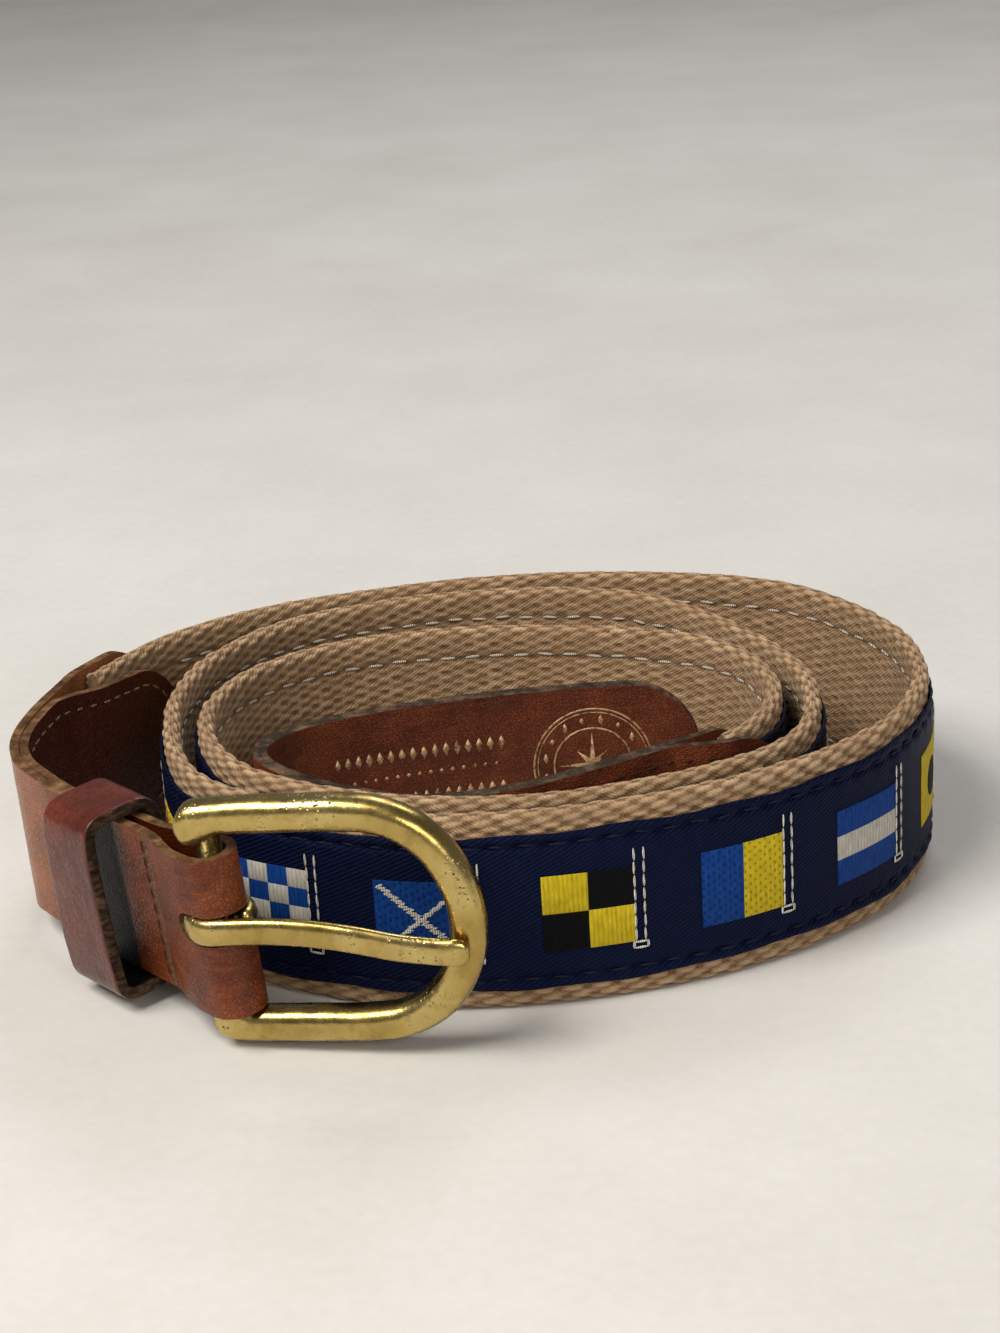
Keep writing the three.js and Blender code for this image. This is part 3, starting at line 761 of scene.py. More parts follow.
flagDesigns = {
    "A": [("white", 0, bar(0, 0, 0.5, 1)), ("blue", 0, [(0.5, 0), *swallow[1:4], (0.5, 1)])],
    "B": [("red", 0, swallow)],
    "C": [("blue", 0, whole), ("white", 1, bar(0, 0.2, 1, 0.8)), ("red", 2, bar(0, 0.4, 1, 0.6))],
    "D": [("yellow", 0, whole), ("blue", 1, bar(0, 0.25, 1, 0.75))],
    "E": [("blue", 0, bar(0, 0.5, 1, 1)), ("red", 0, bar(0, 0, 1, 0.5))],
    "F": [("white", 0, whole), ("red", 1, [(0.5, 0.04), (0.96, 0.5), (0.5, 0.96), (0.04, 0.5)])],
    "G": [("yellow", 0, whole)] + [("blue", 1, bar(k / 6, 0, (k + 1) / 6, 1)) for k in (1, 3, 5)],
    "H": [("white", 0, bar(0, 0, 0.5, 1)), ("red", 0, bar(0.5, 0, 1, 1))],
    "I": [("yellow", 0, whole), ("black", 1, disc(0.5, 0.5, 0.24))],
    "J": [("blue", 0, whole), ("white", 1, bar(0, 0.34, 1, 0.66))],
    "K": [("yellow", 0, bar(0, 0, 0.5, 1)), ("blue", 0, bar(0.5, 0, 1, 1))],
    "L": [("black", 0, whole), ("yellow", 1, bar(0, 0.5, 0.5, 1)), ("yellow", 1, bar(0.5, 0, 1, 0.5))],
    "M": [("blue", 0, whole)],
    "N": [("blue", 0, whole)] + [("white", 1, square) for square in checks],
    "O": [("yellow", 0, [(0, 0), (1, 0), (0, 1)]), ("red", 0, [(1, 0), (1, 1), (0, 1)])],
    "P": [("blue", 0, whole), ("white", 1, bar(0.3, 0.3, 0.7, 0.7))],
    "Q": [("yellow", 0, whole)],
    "R": [("red", 0, whole), ("yellow", 1, bar(0.4, 0, 0.6, 1)), ("yellow", 1, bar(0, 0.4, 1, 0.6))],
    "S": [("white", 0, whole), ("blue", 1, bar(0.3, 0.3, 0.7, 0.7))],
    "T": [("red", 0, bar(0, 0, 0.34, 1)), ("white", 0, bar(0.34, 0, 0.67, 1)),
          ("blue", 0, bar(0.67, 0, 1, 1))],
    "U": [("red", 0, whole), ("white", 1, bar(0, 0, 0.5, 0.5)), ("white", 1, bar(0.5, 0.5, 1, 1))],
    "V": [("white", 0, whole)] + [("red", 1, arm) for arm in saltire],
    "W": [("blue", 0, whole), ("white", 1, bar(0.2, 0.2, 0.8, 0.8)), ("red", 2, bar(0.38, 0.38, 0.62, 0.62))],
    "X": [("white", 0, whole), ("blue", 1, bar(0.4, 0, 0.6, 1)), ("blue", 1, bar(0, 0.4, 1, 0.6))],
    "Y": [("yellow", 0, whole)] + [("red", 1, slant) for slant in slants],
    "Z": [("yellow", 0, [(0, 1), (0.5, 0.5), (1, 1)]), ("blue", 0, [(1, 1), (0.5, 0.5), (1, 0)]),
          ("red", 0, [(1, 0), (0.5, 0.5), (0, 0)]), ("black", 0, [(0, 0), (0.5, 0.5), (0, 1)])],
}
flags = {
    "marker": ("L", 349.2),  # one flag and the distance of its middle
    "pitch": 24.3,
    "width": 13.7,
    "height": 12.5,
    "middle": -0.35,
    "base": 2.12,
    "thick": 0.22,
    "layerStep": 0.05,
    "softened": (0.1, 0.05),  # width and rise of the slope round each area
    "cutEvery": 1.1,
    "bareStart": 24,  # ribbon with no flag at each end
    "bareEnd": 14,
    "ribbed": "JLNU",  # flags sewn in upright ribs: the others are filled flat
}
hoist = {
    "gap": 1.45,  # between its two rows of stitches
    "above": 3.0,
    "perRow": 7,
    "out": 2.42,
    "stitch": (2.15, 0.36, 0.3),  # length, width and thickness
    "toggleOut": 2.4,
    "toggleEnd": (2.1, 0.4, 0.3),
    "toggleSide": (1.25, 0.4, 0.3),
    "toggleHeight": 0.95,
}
saltireArms = {"steps": 34, "from": 0.06, "out": 2.42, "stitch": (1.4, 0.4, 0.32)}
threadColours = {  # shadow, light and gap of each thread
    "blue": ((0.003, 0.034, 0.19), (0.007, 0.070, 0.33), (0.001, 0.010, 0.06)),
    "yellow": ((0.52, 0.38, 0.010), (0.76, 0.60, 0.025), (0.22, 0.13, 0.006)),
    "white": ((0.46, 0.44, 0.39), (0.72, 0.69, 0.62), (0.17, 0.14, 0.11)),
    "black": ((0.0012, 0.0013, 0.0018), (0.003, 0.003, 0.004), (0.0005, 0.0005, 0.0007)),
    "red": ((0.34, 0.010, 0.012), (0.52, 0.024, 0.025), (0.10, 0.004, 0.004)),
}
flagThreads = {}
for colour, tones in threadColours.items():
    flagThreads[colour] = silkMaterial(f"{colour}Silk", *tones)
    flagThreads[f"{colour}_filled"] = silkMaterial(f"{colour}Filled", *tones, dotted=True)


def flagPatch(points, middle, layer):
    # One coloured area: cut into narrow strips so that it bends, raised, and softened at its border
    f = flags
    slope, rise = f["softened"]
    bm = bmesh.new()
    places = [(middle + (x - 0.5) * f["width"], f["middle"] + (0.5 - y) * f["height"]) for x, y in points]
    corners = [bm.verts.new((x, f["base"], z)) for x, z in places]
    bm.faces.new(corners)
    low = min(v.co.x for v in corners)
    high = max(v.co.x for v in corners)
    cuts = int((high - low) / f["cutEvery"])
    for k in range(1, cuts + 1):
        at = low + k * (high - low) / (cuts + 1)
        bmesh.ops.bisect_plane(bm, geom=bm.verts[:] + bm.edges[:] + bm.faces[:], plane_co=(at, 0, 0),
                               plane_no=(1, 0, 0), dist=0.0001)
    bmesh.ops.recalc_face_normals(bm, faces=bm.faces)
    if bm.faces[:][0].normal.y < 0:
        bmesh.ops.reverse_faces(bm, faces=bm.faces)
    raised = bmesh.ops.extrude_face_region(bm, geom=bm.faces[:])["geom"]
    top = [g for g in raised if isinstance(g, bmesh.types.BMVert)]
    bmesh.ops.translate(bm, verts=top, vec=(0, f["thick"] - rise + layer * f["layerStep"], 0))
    roof = [g for g in raised if isinstance(g, bmesh.types.BMFace)]
    bmesh.ops.inset_region(bm, faces=roof, thickness=slope, depth=rise, use_even_offset=True)
    bmesh.ops.recalc_face_normals(bm, faces=bm.faces)
    return toMesh(bm, "patch")


def flagPlaces():
    f = flags
    letters = list(flagDesigns)
    letter, middle = f["marker"]
    index = letters.index(letter)
    first = math.ceil((ribbon["start"] + f["bareStart"] + f["width"] / 2 - middle) / f["pitch"])
    last = math.floor((ribbon["end"] - f["bareEnd"] - f["width"] / 2 - middle) / f["pitch"])
    return [(letters[(index + k) % len(letters)], middle + k * f["pitch"]) for k in range(first, last + 1)]


def sewFlags():
    cloth = {thread: bmesh.new() for thread in flagThreads}
    for letter, middle in flagPlaces():
        for colour, layer, points in flagDesigns[letter]:
            if letter not in flags["ribbed"] and colour != "white":
                colour = f"{colour}_filled"
            patch = flagPatch(points, middle, layer)
            cloth[colour].from_mesh(patch)
            bpy.data.meshes.remove(patch)
    for colour, bm in cloth.items():
        if not bm.verts:
            continue
        mesh = toMesh(bm, f"flags_{colour}")
        writePattern(mesh, readPoints(mesh)[:, (0, 2)])
        addPiece(f"flags_{colour}", lay(mesh), [flagThreads[colour]], "belt", "ribbon_satin")


def hoistPlaces():
    # Two upright rows of stitches along each flag's hoist, and a small toggle of four stitches at their foot
    f, h = flags, hoist
    upright, ends, sides = [], [], []
    for letter, middle in flagPlaces():
        edge = middle - f["width"] / 2 - 0.1
        top = f["middle"] + f["height"] / 2
        foot = f["middle"] - f["height"] / 2
        pitch = (top + h["above"] - foot) / h["perRow"]
        for row in (0, 1):
            at = edge - row * h["gap"]
            for k in range(h["perRow"]):
                upright.append((at + random.uniform(-0.05, 0.05), h["out"], foot + (k + 0.5) * pitch,
                                math.pi / 2 + random.uniform(-0.04, 0.04)))
        for k in (0, 1):
            ends.append((edge - h["gap"] / 2, h["toggleOut"], foot - 0.15 - k * h["toggleHeight"], 0.0))
            sides.append((edge + 0.35 - k * (h["gap"] + 0.7), h["toggleOut"], foot - 0.62, math.pi / 2))
    return upright, ends, sides


def saltirePlaces():
    # A white saltire of short level stitches laid closely along both diagonals
    f, s = flags, saltireArms
    places = []
    for middle in [middle for letter, middle in flagPlaces() if letter == "M"]:
        for k in range(s["steps"]):
            share = s["from"] + (1 - 2 * s["from"]) * (k + 0.5) / s["steps"]
            for rise in (share, 1 - share):
                x = middle + (share - 0.5) * f["width"] + random.uniform(-0.12, 0.12)
                turn = random.uniform(-0.05, 0.05) + (0.5 if k % 3 == 0 else 0.1)
                places.append((x, s["out"], f["middle"] + (rise - 0.5) * f["height"], turn))
    return places


sewFlags()
sew("saltire_stitches", saltireArms["stitch"], saltirePlaces(), whiteThread, "white_thread")
upright, ends, sides = hoistPlaces()
sew("hoist_stitches", hoist["stitch"], upright, whiteThread, "white_thread")
sew("toggle_stitches", hoist["toggleEnd"], ends, whiteThread, "white_thread")
sew("toggle_sides", hoist["toggleSide"], sides, whiteThread, "white_thread")
print("flags sewn:", len(flagPlaces()))


# Leather

leather = {
    "thick": 1.5,
    "strapHalf": 12.9,
    "tabLays": (1.38, -0.18, 3.3, -2.2),  # middles of the two layers: together, then round the webbing
    "billetThick": 1.2,
    "billetLays": (-0.33, -1.55, 3.1, -2.1),
    "column": 0.85,
    "rows": 22,
    "edgeBevel": 0.45,
    "sharp": 0.9,  # edges that turn more than this are softened, in radians
    "endRound": 12.0,
    "tipRound": 12.7,
    "joint": 9,  # a layer steps from strap to webbing over this length
    "tabEnd": 105.0,
    "tabOuter": ((50, 76), (12.9, 16.25)),  # distances, and half widths there
    "tabInner": ((50, 72, 92), (12.9, 15.3, 13.6)),
    "foldRadius": 3.7,
    "slotHalf": 2.35,
    "slotReach": 4.7,
    "slotAt": 1.4,
    "billetLength": 178.0,
    "taperFrom": 8,  # past the webbing's end
    "billetTaper": 42.0,
    "holeRadius": 2.1,
    "firstHole": 80.0,
    "holePitch": 19.0,
    "holeCount": 5,
    "holeReach": 1.2,  # how far round a hole its border is drawn in
}
billetStart = beltLength - leather["billetLength"]


def roundedEnd(half, toEnd, length):
    share = np.clip(toEnd / length, 0, 1)
    return half * np.sqrt(np.clip(1 - (1 - share) ** 2, 0.002, 1))


def cutHoles(bm, holes):
    # Takes out the faces inside each rounded slot (x, z, half length, radius) and shapes its border
    for x, z, half, radius in holes:
        core = half - radius

        def nearest(point):
            return Vector((x + max(-core, min(core, point.x - x)), point.y, z))

        def away(point):
            return point - nearest(point)

        inside = [f for f in bm.faces if away(f.calc_center_median()).length < radius]
        bmesh.ops.delete(bm, geom=inside, context="FACES")
        for v in bm.verts:
            if v.is_boundary and away(v.co).length < radius + leather["holeReach"]:
                v.co = nearest(v.co) + away(v.co).normalized() * radius


def leatherSheet(name, length, halfAt, holes=(), thick=leather["thick"], rows=leather["rows"]):
    # A flat strip of leather with rounded ends, holes, thickness and softened edges: material 1 on cut edges
    mesh = gridMesh(name, int(length / leather["column"]), rows)
    share, across, flat = readPoints(mesh).T
    # finer towards the ends
    x = length * (0.5 - 0.5 * np.cos(math.pi * share)) * 0.35 + length * share * 0.65
    writePoints(mesh, np.stack([x, flat, (across * 2 - 1) * halfAt(x)], 1))
    bm = toBmesh(mesh)
    cutHoles(bm, holes)
    bmesh.ops.solidify(bm, geom=bm.faces[:], thickness=thick)
    middle = sum(v.co.y for v in bm.verts) / len(bm.verts)
    bmesh.ops.translate(bm, verts=bm.verts, vec=(0, -middle, 0))
    bmesh.ops.recalc_face_normals(bm, faces=bm.faces)
    corners = [e for e in bm.edges if len(e.link_faces) == 2 and e.calc_face_angle(0) > leather["sharp"]
               and abs(abs(e.verts[0].co.y) - thick / 2) < 0.05
               and abs(e.verts[0].co.y - e.verts[1].co.y) < 0.05]
    bmesh.ops.bevel(bm, geom=corners, offset=leather["edgeBevel"], offset_type="OFFSET", segments=2,
                    profile=0.5, affect="EDGES", material=-1, clamp_overlap=True)
    bmesh.ops.recalc_face_normals(bm, faces=bm.faces)
    for face in bm.faces:
        face.material_index = 1 if abs(face.normal.y) < 0.6 else 0
    bm.to_mesh(mesh)
    bm.free()
    return mesh


def pathOf(points, step=0.3):
    at, curve = evenly(throughPoints([(x, y, 0) for x, y in points], 24), step)
    along = unit(np.gradient(curve, at, axis=0))
    return {"at": at, "x": curve[:, 0], "y": curve[:, 1], "normal": np.stack([-along[:, 1], along[:, 0]], 1)}


def alongPath(points, path):
    # Flat leather (x along its path, y its thickness) to belt coordinates
    at, lift, up = points.T
    lines = (path["x"], path["y"], *path["normal"].T)
    x, y, normalX, normalY = (np.interp(at, path["at"], line) for line in lines)
    return np.stack([x + normalX * lift, y + normalY * lift, up], 1)


def rumple(x, y, z):
    return noise.noise(Vector((x, y, z)))


def layLeather(mesh, path, crease):
    points = readPoints(mesh)
    writePattern(mesh, points[:, (0, 2)])
    points[:, 1] += np.sign(points[:, 1]) * np.array([crease(Vector(p)) for p in points])
    writePoints(mesh, onBelt(alongPath(points, path)))


def tabPath():
    n = leather
    outerPair, innerPair, outerWeb, innerWeb = n["tabLays"]
    step = (webbing["start"] - n["joint"], webbing["start"] - 1)
    distances = (105, 98, 91, 84, 82, 79, 76, 73, 66, 58, 50, 42, 34, 26, 20, 15)
    outer = [(d, np.interp(d, step, (outerPair, outerWeb))) for d in distances]
    lays = (20, 34, *step), (-outerPair, innerPair, innerPair, innerWeb)
    inner = [(d, np.interp(d, *lays)) for d in reversed(distances)]
    r = n["foldRadius"]
    near = [(11.5, 1.75), (8, 2.8), (4, r - 0.05)]
    bend = [(-r * math.sin(t), r * math.cos(t)) for t in np.linspace(0, math.pi, 9)]
    return pathOf(outer + near + bend + [(d, -out) for d, out in reversed(near)] + inner)


def buildTab():
    n = leather
    path = tabPath()
    length = path["at"][-1]
    fold = path["at"][np.argmin(path["x"])]
    slotEnds = [path["at"][i] for i in np.where(path["x"] < n["slotReach"])[0][[0, -1]]]

    def halfAt(x):
        distance = np.interp(x, path["at"], path["x"])
        half = np.where(x > fold, np.interp(distance, *n["tabInner"]), np.interp(distance, *n["tabOuter"]))
        return roundedEnd(half, n["tabEnd"] - distance, n["endRound"])

    def crease(p):
        near = math.exp(-(((p.x - fold) / 9) ** 2))
        broad = (0.16 * near + 0.05) * rumple(p.x * 0.35, 0, p.z * 0.12)
        return broad + 0.05 * rumple(p.x * 0.9, 3, p.z * 0.5)

    slot = (sum(slotEnds) / 2, n["slotAt"], (slotEnds[1] - slotEnds[0]) / 2, n["slotHalf"])
    mesh = leatherSheet("buckle_tab", length, halfAt, [slot])
    along = readPoints(mesh)[:, 0]
    distance = np.interp(along, path["at"], path["x"])
    # the inner leg darker: a darker leather, and painted shade
    writeValue(mesh, "shade", np.clip((along - fold - 3) / 9, 0, 1))
    outside = along < fold
    writeValue(mesh, "faded", outside * np.interp(distance, (33, 50), (0, 1)))
    writeValue(mesh, "scar", outside * np.clip(10 - np.abs(distance - 13.2), 0, None))
    # painted shadow on the tab's outer face inside the keeper's pocket
    writeValue(mesh, "pocketShadow", outside * np.interp(distance, (21.9, 22.7, 32, 33), (0, 1, 1, 0)))
    layLeather(mesh, path, crease)
    addPiece("buckle_tab_leather", mesh, [tabLeather, rawEdge], "belt", "leather_brown", ("buckle_tab",), 1)


def billetHalfAt(distance):
    # From the webbing's width to the strap's
    start = leather["taperFrom"]
    ends = (start, start + leather["billetTaper"])
    return np.interp(distance - webbing["end"], ends, (webbing["halfWidth"], leather["strapHalf"]))


def buildBillet(side, lays, word):
    n = leather
    webEnd = webbing["end"]
    distances = billetStart + np.linspace(0, n["billetLength"], 90)
    outs = np.interp(distances, (webEnd + 1, webEnd + n["joint"]), lays)
    path = pathOf(list(zip(distances, outs)))
    total = path["at"][-1]

    def halfAt(x):
        distance = np.interp(x, path["at"], path["x"])
        half = billetHalfAt(distance)
        start = roundedEnd(half, distance - billetStart, n["endRound"])
        return np.minimum(start, roundedEnd(half, beltLength - distance, n["tipRound"]))

    holes = [(total - n["firstHole"] - k * n["holePitch"], 0, n["holeRadius"], n["holeRadius"])
             for k in range(n["holeCount"])]
    mesh = leatherSheet(f"billet_{word}", total, halfAt, holes, n["billetThick"])
    layLeather(mesh, path, lambda p: 0.06 * rumple(p.x * 0.12, 7 * side, p.z * 0.2))
    addPiece(f"billet_{word}_leather", mesh, [billetLeather, paintedEdge], "belt", "leather_dark",
             (f"billet_{word}",), 1)


buildTab()
lays = leather["billetLays"]
buildBillet(1, (lays[2], lays[0]), "outer")
buildBillet(-1, (lays[3], lays[1]), "inner")
print("leather cut and laid")


# Keeper

keeper = {
    "at": 25.8,
    "width": 12.5,
    "thick": 2.1,
    "rows": 12,
    "bellied": 0.35,  # how far its front swells out
    "front": 6.55,  # inside faces, out from the belt's middle
    "back": -2.75,
    "high": 13.5,
    "corner": 2.3,
}


def keeperPath():
    k = keeper
    grow = k["thick"] / 2
    x0, x1, y, c = k["back"] - grow, k["front"] + grow, k["high"] + grow, k["corner"]
    arcs = [(x0 + c, y - c, 180), (x1 - c, y - c, 90), (x1 - c, c - y, 0), (x0 + c, c - y, -90)]
    points = [(x0, 0.02), (x0, 6)]
    for cx, cy, start in arcs:
        for angle in np.radians(np.linspace(start, start - 90, 6)):
            points.append((cx + c * math.cos(angle), cy + c * math.sin(angle)))
        if start == 90:
            points += [(x1 + k["bellied"], y * share) for share in (0.5, 0.0, -0.5)]
    return pathOf(points + [(x0, -6), (x0, -0.02)], 0.2)


def buildKeeper():
    k = keeper
    path = keeperPath()
    halfAt = lambda x: k["width"] / 2 + 0.18 * np.sin(x / 6.0)
    mesh = leatherSheet("keeper", path["at"][-1], halfAt, (), k["thick"], k["rows"])
    points = readPoints(mesh)
    writePattern(mesh, points[:, (0, 2)] + (300, 0))  # a pattern of its own
    inner = np.sign(points[:, 1])
    # the inner faces near black: painted shade inside the loop
    writeValue(mesh, "shade", (inner < 0) * 1.2)
    points[:, 1] += inner * 0.10 * np.array([rumple(x * 0.3, 5, z * 0.3) for x, y, z in points])
    across, out, up = alongPath(points, path)[:, (2, 0, 1)].T
    writePoints(mesh, onBelt(np.stack([k["at"] + across, out, up], 1)))
    bm = toBmesh(mesh)
    bmesh.ops.recalc_face_normals(bm, faces=bm.faces)
    bm.to_mesh(mesh)
    bm.free()
    addPiece("keeper_leather", mesh, [keeperLeather, darkEdge], "keeper", "leather_brown", ("keeper",), 1)


buildKeeper()
print("keeper closed")


# Metal: a section swept along a path in the buckle's own directions

buckle = {
    "turn": -0.2,
    "wireIn": 2.75,  # half size in the frame's plane, and through it
    "wireOut": 2.62,
    "square": 2.4,
    "upperHalf": 17.4,
    "lowerHalf": 16.85,
    "upperEnd": -4.3,  # where each arm stops, behind the heel bar
    "lowerEnd": -3.1,
    "corner": 3.0,
    "armLength": 20.3,
    "noseLength": 16.6,
    "barRadius": 1.9,
    "barHalf": 15.0,
    "sway": 0.04,  # turned in its own plane, nose down, about a point this far from the heel bar
    "swayAt": 24.0,
}
heelCentre, buckleUp = (beltFrame(0.0)[k] for k in (0, 3))
buckleAlong = np.array([math.cos(buckle["turn"]), math.sin(buckle["turn"]), 0.0])
buckleAlong = buckleAlong - buckleUp * (buckleAlong @ buckleUp)
buckleAlong /= np.linalg.norm(buckleAlong)
buckleOut = np.cross(buckleAlong, buckleUp)


def onBuckle(points):
    # (along the arms, out of the face, up the heel bar) in millimetres to metres
    c, s = math.cos(buckle["sway"]), math.sin(buckle["sway"])
    along, out, up = points[:, 0:1] - buckle["swayAt"], points[:, 1:2], points[:, 2:3]
    swayed = buckle["swayAt"] + along * c + up * s
    return (heelCentre + swayed * buckleAlong + out * buckleOut + (up * c - along * s) * buckleUp) * mm


def squared(angle, power):
    c, s = math.cos(angle), math.sin(angle)
    return math.copysign(abs(c) ** (2 / power), c), math.copysign(abs(s) ** (2 / power), s)


def sweep(name, path, side, face, halfSide, halfFace, power, sides=28, innerSide=None):
    # Path, side and face have a point or direction for each ring, and the half sizes a value
    mesh = gridMesh(name, len(path) - 1, sides)
    share = readPoints(mesh)
    column = np.rint(share[:, 0] * (len(path) - 1)).astype(int)
    ring = np.array([squared(2 * math.pi * k / sides, power) for k in range(sides + 1)])
    x, y = ring[np.rint(share[:, 1] * sides).astype(int)].T
    wide = halfSide[column] if innerSide is None else np.where(x < 0, innerSide[column], halfSide[column])
    sideways, facing = (x * wide)[:, None], (y * halfFace[column])[:, None]
    writePoints(mesh, path[column] + side[column] * sideways + face[column] * facing)
    closeSkin(mesh, 0.002)
    return mesh


def endShares(count, first, last):
    # Shares of a half size that shrink towards both ends, for a softened cut: last runs inwards from the end
    return np.concatenate([first, np.ones(count - len(first) - len(last)), last[::-1]])


def buildFrame():
    b = buckle
    straight = [(0.5, 0.985), (5, 1.0), (13, 1.003)]  # share of the half height at places along the arms
    angles = [math.pi / 2 - math.pi * k / 12 for k in range(13)]
    nose = [(b["armLength"] + b["noseLength"] * max(math.cos(a), 0) ** 0.88, math.sin(a)) for a in angles]
    outline = [(b["upperEnd"], 0.955)] + straight + nose + [(a, -u) for a, u in reversed(straight)]
    outline.append((b["lowerEnd"], -0.955))
    path = [(a, 0, u * (b["upperHalf"] if u > 0 else b["lowerHalf"])) for a, u in outline]
    at, path = evenly(throughPoints(path, 20), 0.4)
    along = unit(np.gradient(path, at, axis=0))
    out = np.tile((0.0, 1.0, 0.0), (len(path), 1))
    side = np.cross(along, out)
    if side[len(side) // 2, 0] < 0:
        side = -side
    # each end is rounded on its outer corner and nearly square on its inner one
    fromEnd = np.minimum(at, at[-1] - at)
    corner = np.clip(fromEnd / b["corner"], 0, 1)
    swell = 1 + 0.010 * np.sin(at * 0.6)
    wide = (b["wireIn"] - b["corner"] * (1 - np.sqrt(1 - (1 - corner) ** 2))) * swell
    wide = np.maximum(wide, 0.3)
    inner = np.interp(fromEnd, (0, 0.5, 1.2, 2.8, 6.0), (3.1, 3.8, 4.1, 4.0, b["wireIn"])) * swell
    deep = np.interp(fromEnd, (0, 0.4, 1.2), (2.05, 2.4, b["wireOut"])) * swell
    mesh = sweep("frame", path, side, out, wide, deep, b["square"], innerSide=inner)
    bm = toBmesh(mesh)
    bar = bmesh.ops.create_cone(bm, cap_ends=True, segments=32, radius1=b["barRadius"],
                                radius2=b["barRadius"], depth=2 * b["barHalf"])["verts"]
    # the heel bar takes the darkened brass: painted shade inside the fold
    for face in {f for v in bar for f in v.link_faces}:
        face.material_index = 1
    bm.to_mesh(mesh)
    bm.free()
    lay(mesh, onBuckle)
    addPiece("buckle_frame_brass", mesh, [brass, shadedBrass], "buckle", "brass", ("buckle_frame",))


prong = {
    "loop": 4.3,  # middle of the bar, from the heel bar's axis
    "halfWide": 2.1,
    "halfThick": 1.18,
    "reach": 37.4,
    "power": 2.35,
    "openFrom": 25,  # degrees past level where the curled end stops
    "droop": ((-6, 0.35), (4, 0.6), (9, 0.6), (15, 0.1), (21, -0.95), (27.3, -2.5), (33.5, -3.3), (38, -3.5)),
}


def buildProng():
    p = prong
    loop, reach = p["loop"], p["reach"]
    angles = np.radians(np.linspace(360 + p["openFrom"], 90, 34))
    curl = [(loop * math.cos(a), loop * math.sin(a)) for a in angles]
    shank = [(a, loop - 0.25 * max(a - 24, 0) / 12) for a in np.arange(2.5, reach, 2.5)]
    shank.append((reach, loop - 0.3))
    at, curve = evenly(throughPoints([(a, o, 0) for a, o in curl + shank], 12), 0.4)
    bent = at > at[-1] - reach
    droop = np.where(bent, np.interp(curve[:, 0], *zip(*p["droop"])), 0.45)
    curve[:, 2] = np.convolve(np.pad(droop, 6, mode="edge"), np.ones(13) / 13, "valid")
    along = unit(np.gradient(curve, at, axis=0))
    up = np.tile((0.0, 0.0, 1.0), (len(curve), 1))
    face = unit(np.cross(up, along))
    side = unit(np.cross(along, face))
    wide = p["halfWide"] * endShares(len(curve), (0.7, 0.9, 0.98), (0.5, 0.76, 0.9, 0.97, 1.0, 1.02, 1.02))
    thin = p["halfThick"] * endShares(len(curve), (0.8, 0.95, 1.0), (0.5, 0.66, 0.74, 0.8, 0.86, 0.92, 0.96))
    mesh = sweep("prong", curve, side, face, wide, thin, p["power"])
    addPiece("prong_brass", lay(mesh, onBuckle), [brass], "prong", "brass", ("prong",))


buildFrame()
buildProng()
print("buckle cast")


# Staple through the keeper's ends

staple = {"half": 4.2, "wire": 0.42, "leg": 0.9, "proud": 0.35}


def buildStaple():
    s = staple
    back = keeper["back"] - keeper["thick"]
    crown = back - s["proud"]
    leg = [(crown, s["half"] - s["proud"]), (back - 0.1, s["half"]), (back + s["leg"], s["half"])]
    corners = [(out, -up) for out, up in reversed(leg)] + [(crown, 0)] + leg
    at, curve = evenly(throughPoints([(keeper["at"], out, up) for out, up in corners], 10), 0.25)
    along = unit(np.gradient(curve, at, axis=0))
    side = np.tile((1.0, 0.0, 0.0), (len(curve), 1))
    size = np.full(len(curve), s["wire"])
    mesh = sweep("staple", curve, side, np.cross(side, along), size * 1.3, size, 2.2, 12)
    addPiece("keeper_staple_wire", lay(mesh), [brass], "keeper", "brass", ("keeper_staple",))


buildStaple()


# Stitches in the leather

leatherSeams = {
    "pitch": 3.0,
    "inset": 2.6,
    "stitch": (2.0, 0.42, 0.36),  # length, width and thickness
    "tabFrom": 58,
    "billetFrom": 20,  # past the webbing's end
    "foldAt": 14.5,
    "foldPitch": 2.6,
    "foldHalf": 10.4,
}


def alongEdge(start, end, halfAt, outAt, sign):
    # Up one edge of a rounded leather end, round it, and down the other
    s = leatherSeams
    rise = halfAt(end) - s["inset"]
    run = leather["endRound"] - s["inset"] * 0.8
    centre = end - sign * leather["endRound"]
    side = [(d, halfAt(d) - s["inset"]) for d in np.arange(start, centre, sign * 1.0)]
    turns = np.linspace(math.pi / 2, -math.pi / 2, 25)
    path = side + [(centre + sign * run * math.cos(a), rise * math.sin(a)) for a in turns]
    path += [(d, -up) for d, up in reversed(side)]
    at, curve = evenly(np.array(path), 0.2)
    places = []
    for k in range(int(at[-1] / s["pitch"])):
        here, ahead = (np.array([np.interp((k + 0.5) * s["pitch"] + more, at, line) for line in curve.T])
                       for more in (0, 0.5))
        stepAlong, stepUp = ahead - here
        turn = random.uniform(-0.05, 0.05) - math.atan2(stepUp, stepAlong)
        places.append((here[0], outAt(here[0]), here[1], turn))
    return places


def seamOut(lays, side, edge, sign, thick=leather["thick"]):
    # Height of the leather's surface: side 0 is the outer layer, 1 the inner; edge is the end of the webbing
    near, far = sorted((edge - sign * leather["joint"], edge - sign))
    values = (lays[side], lays[side + 2]) if sign > 0 else (lays[side + 2], lays[side])
    proud = (thick / 2 + 0.04) * (1 - 2 * side)
    return lambda distance: np.interp(distance, (near, far), values) + proud


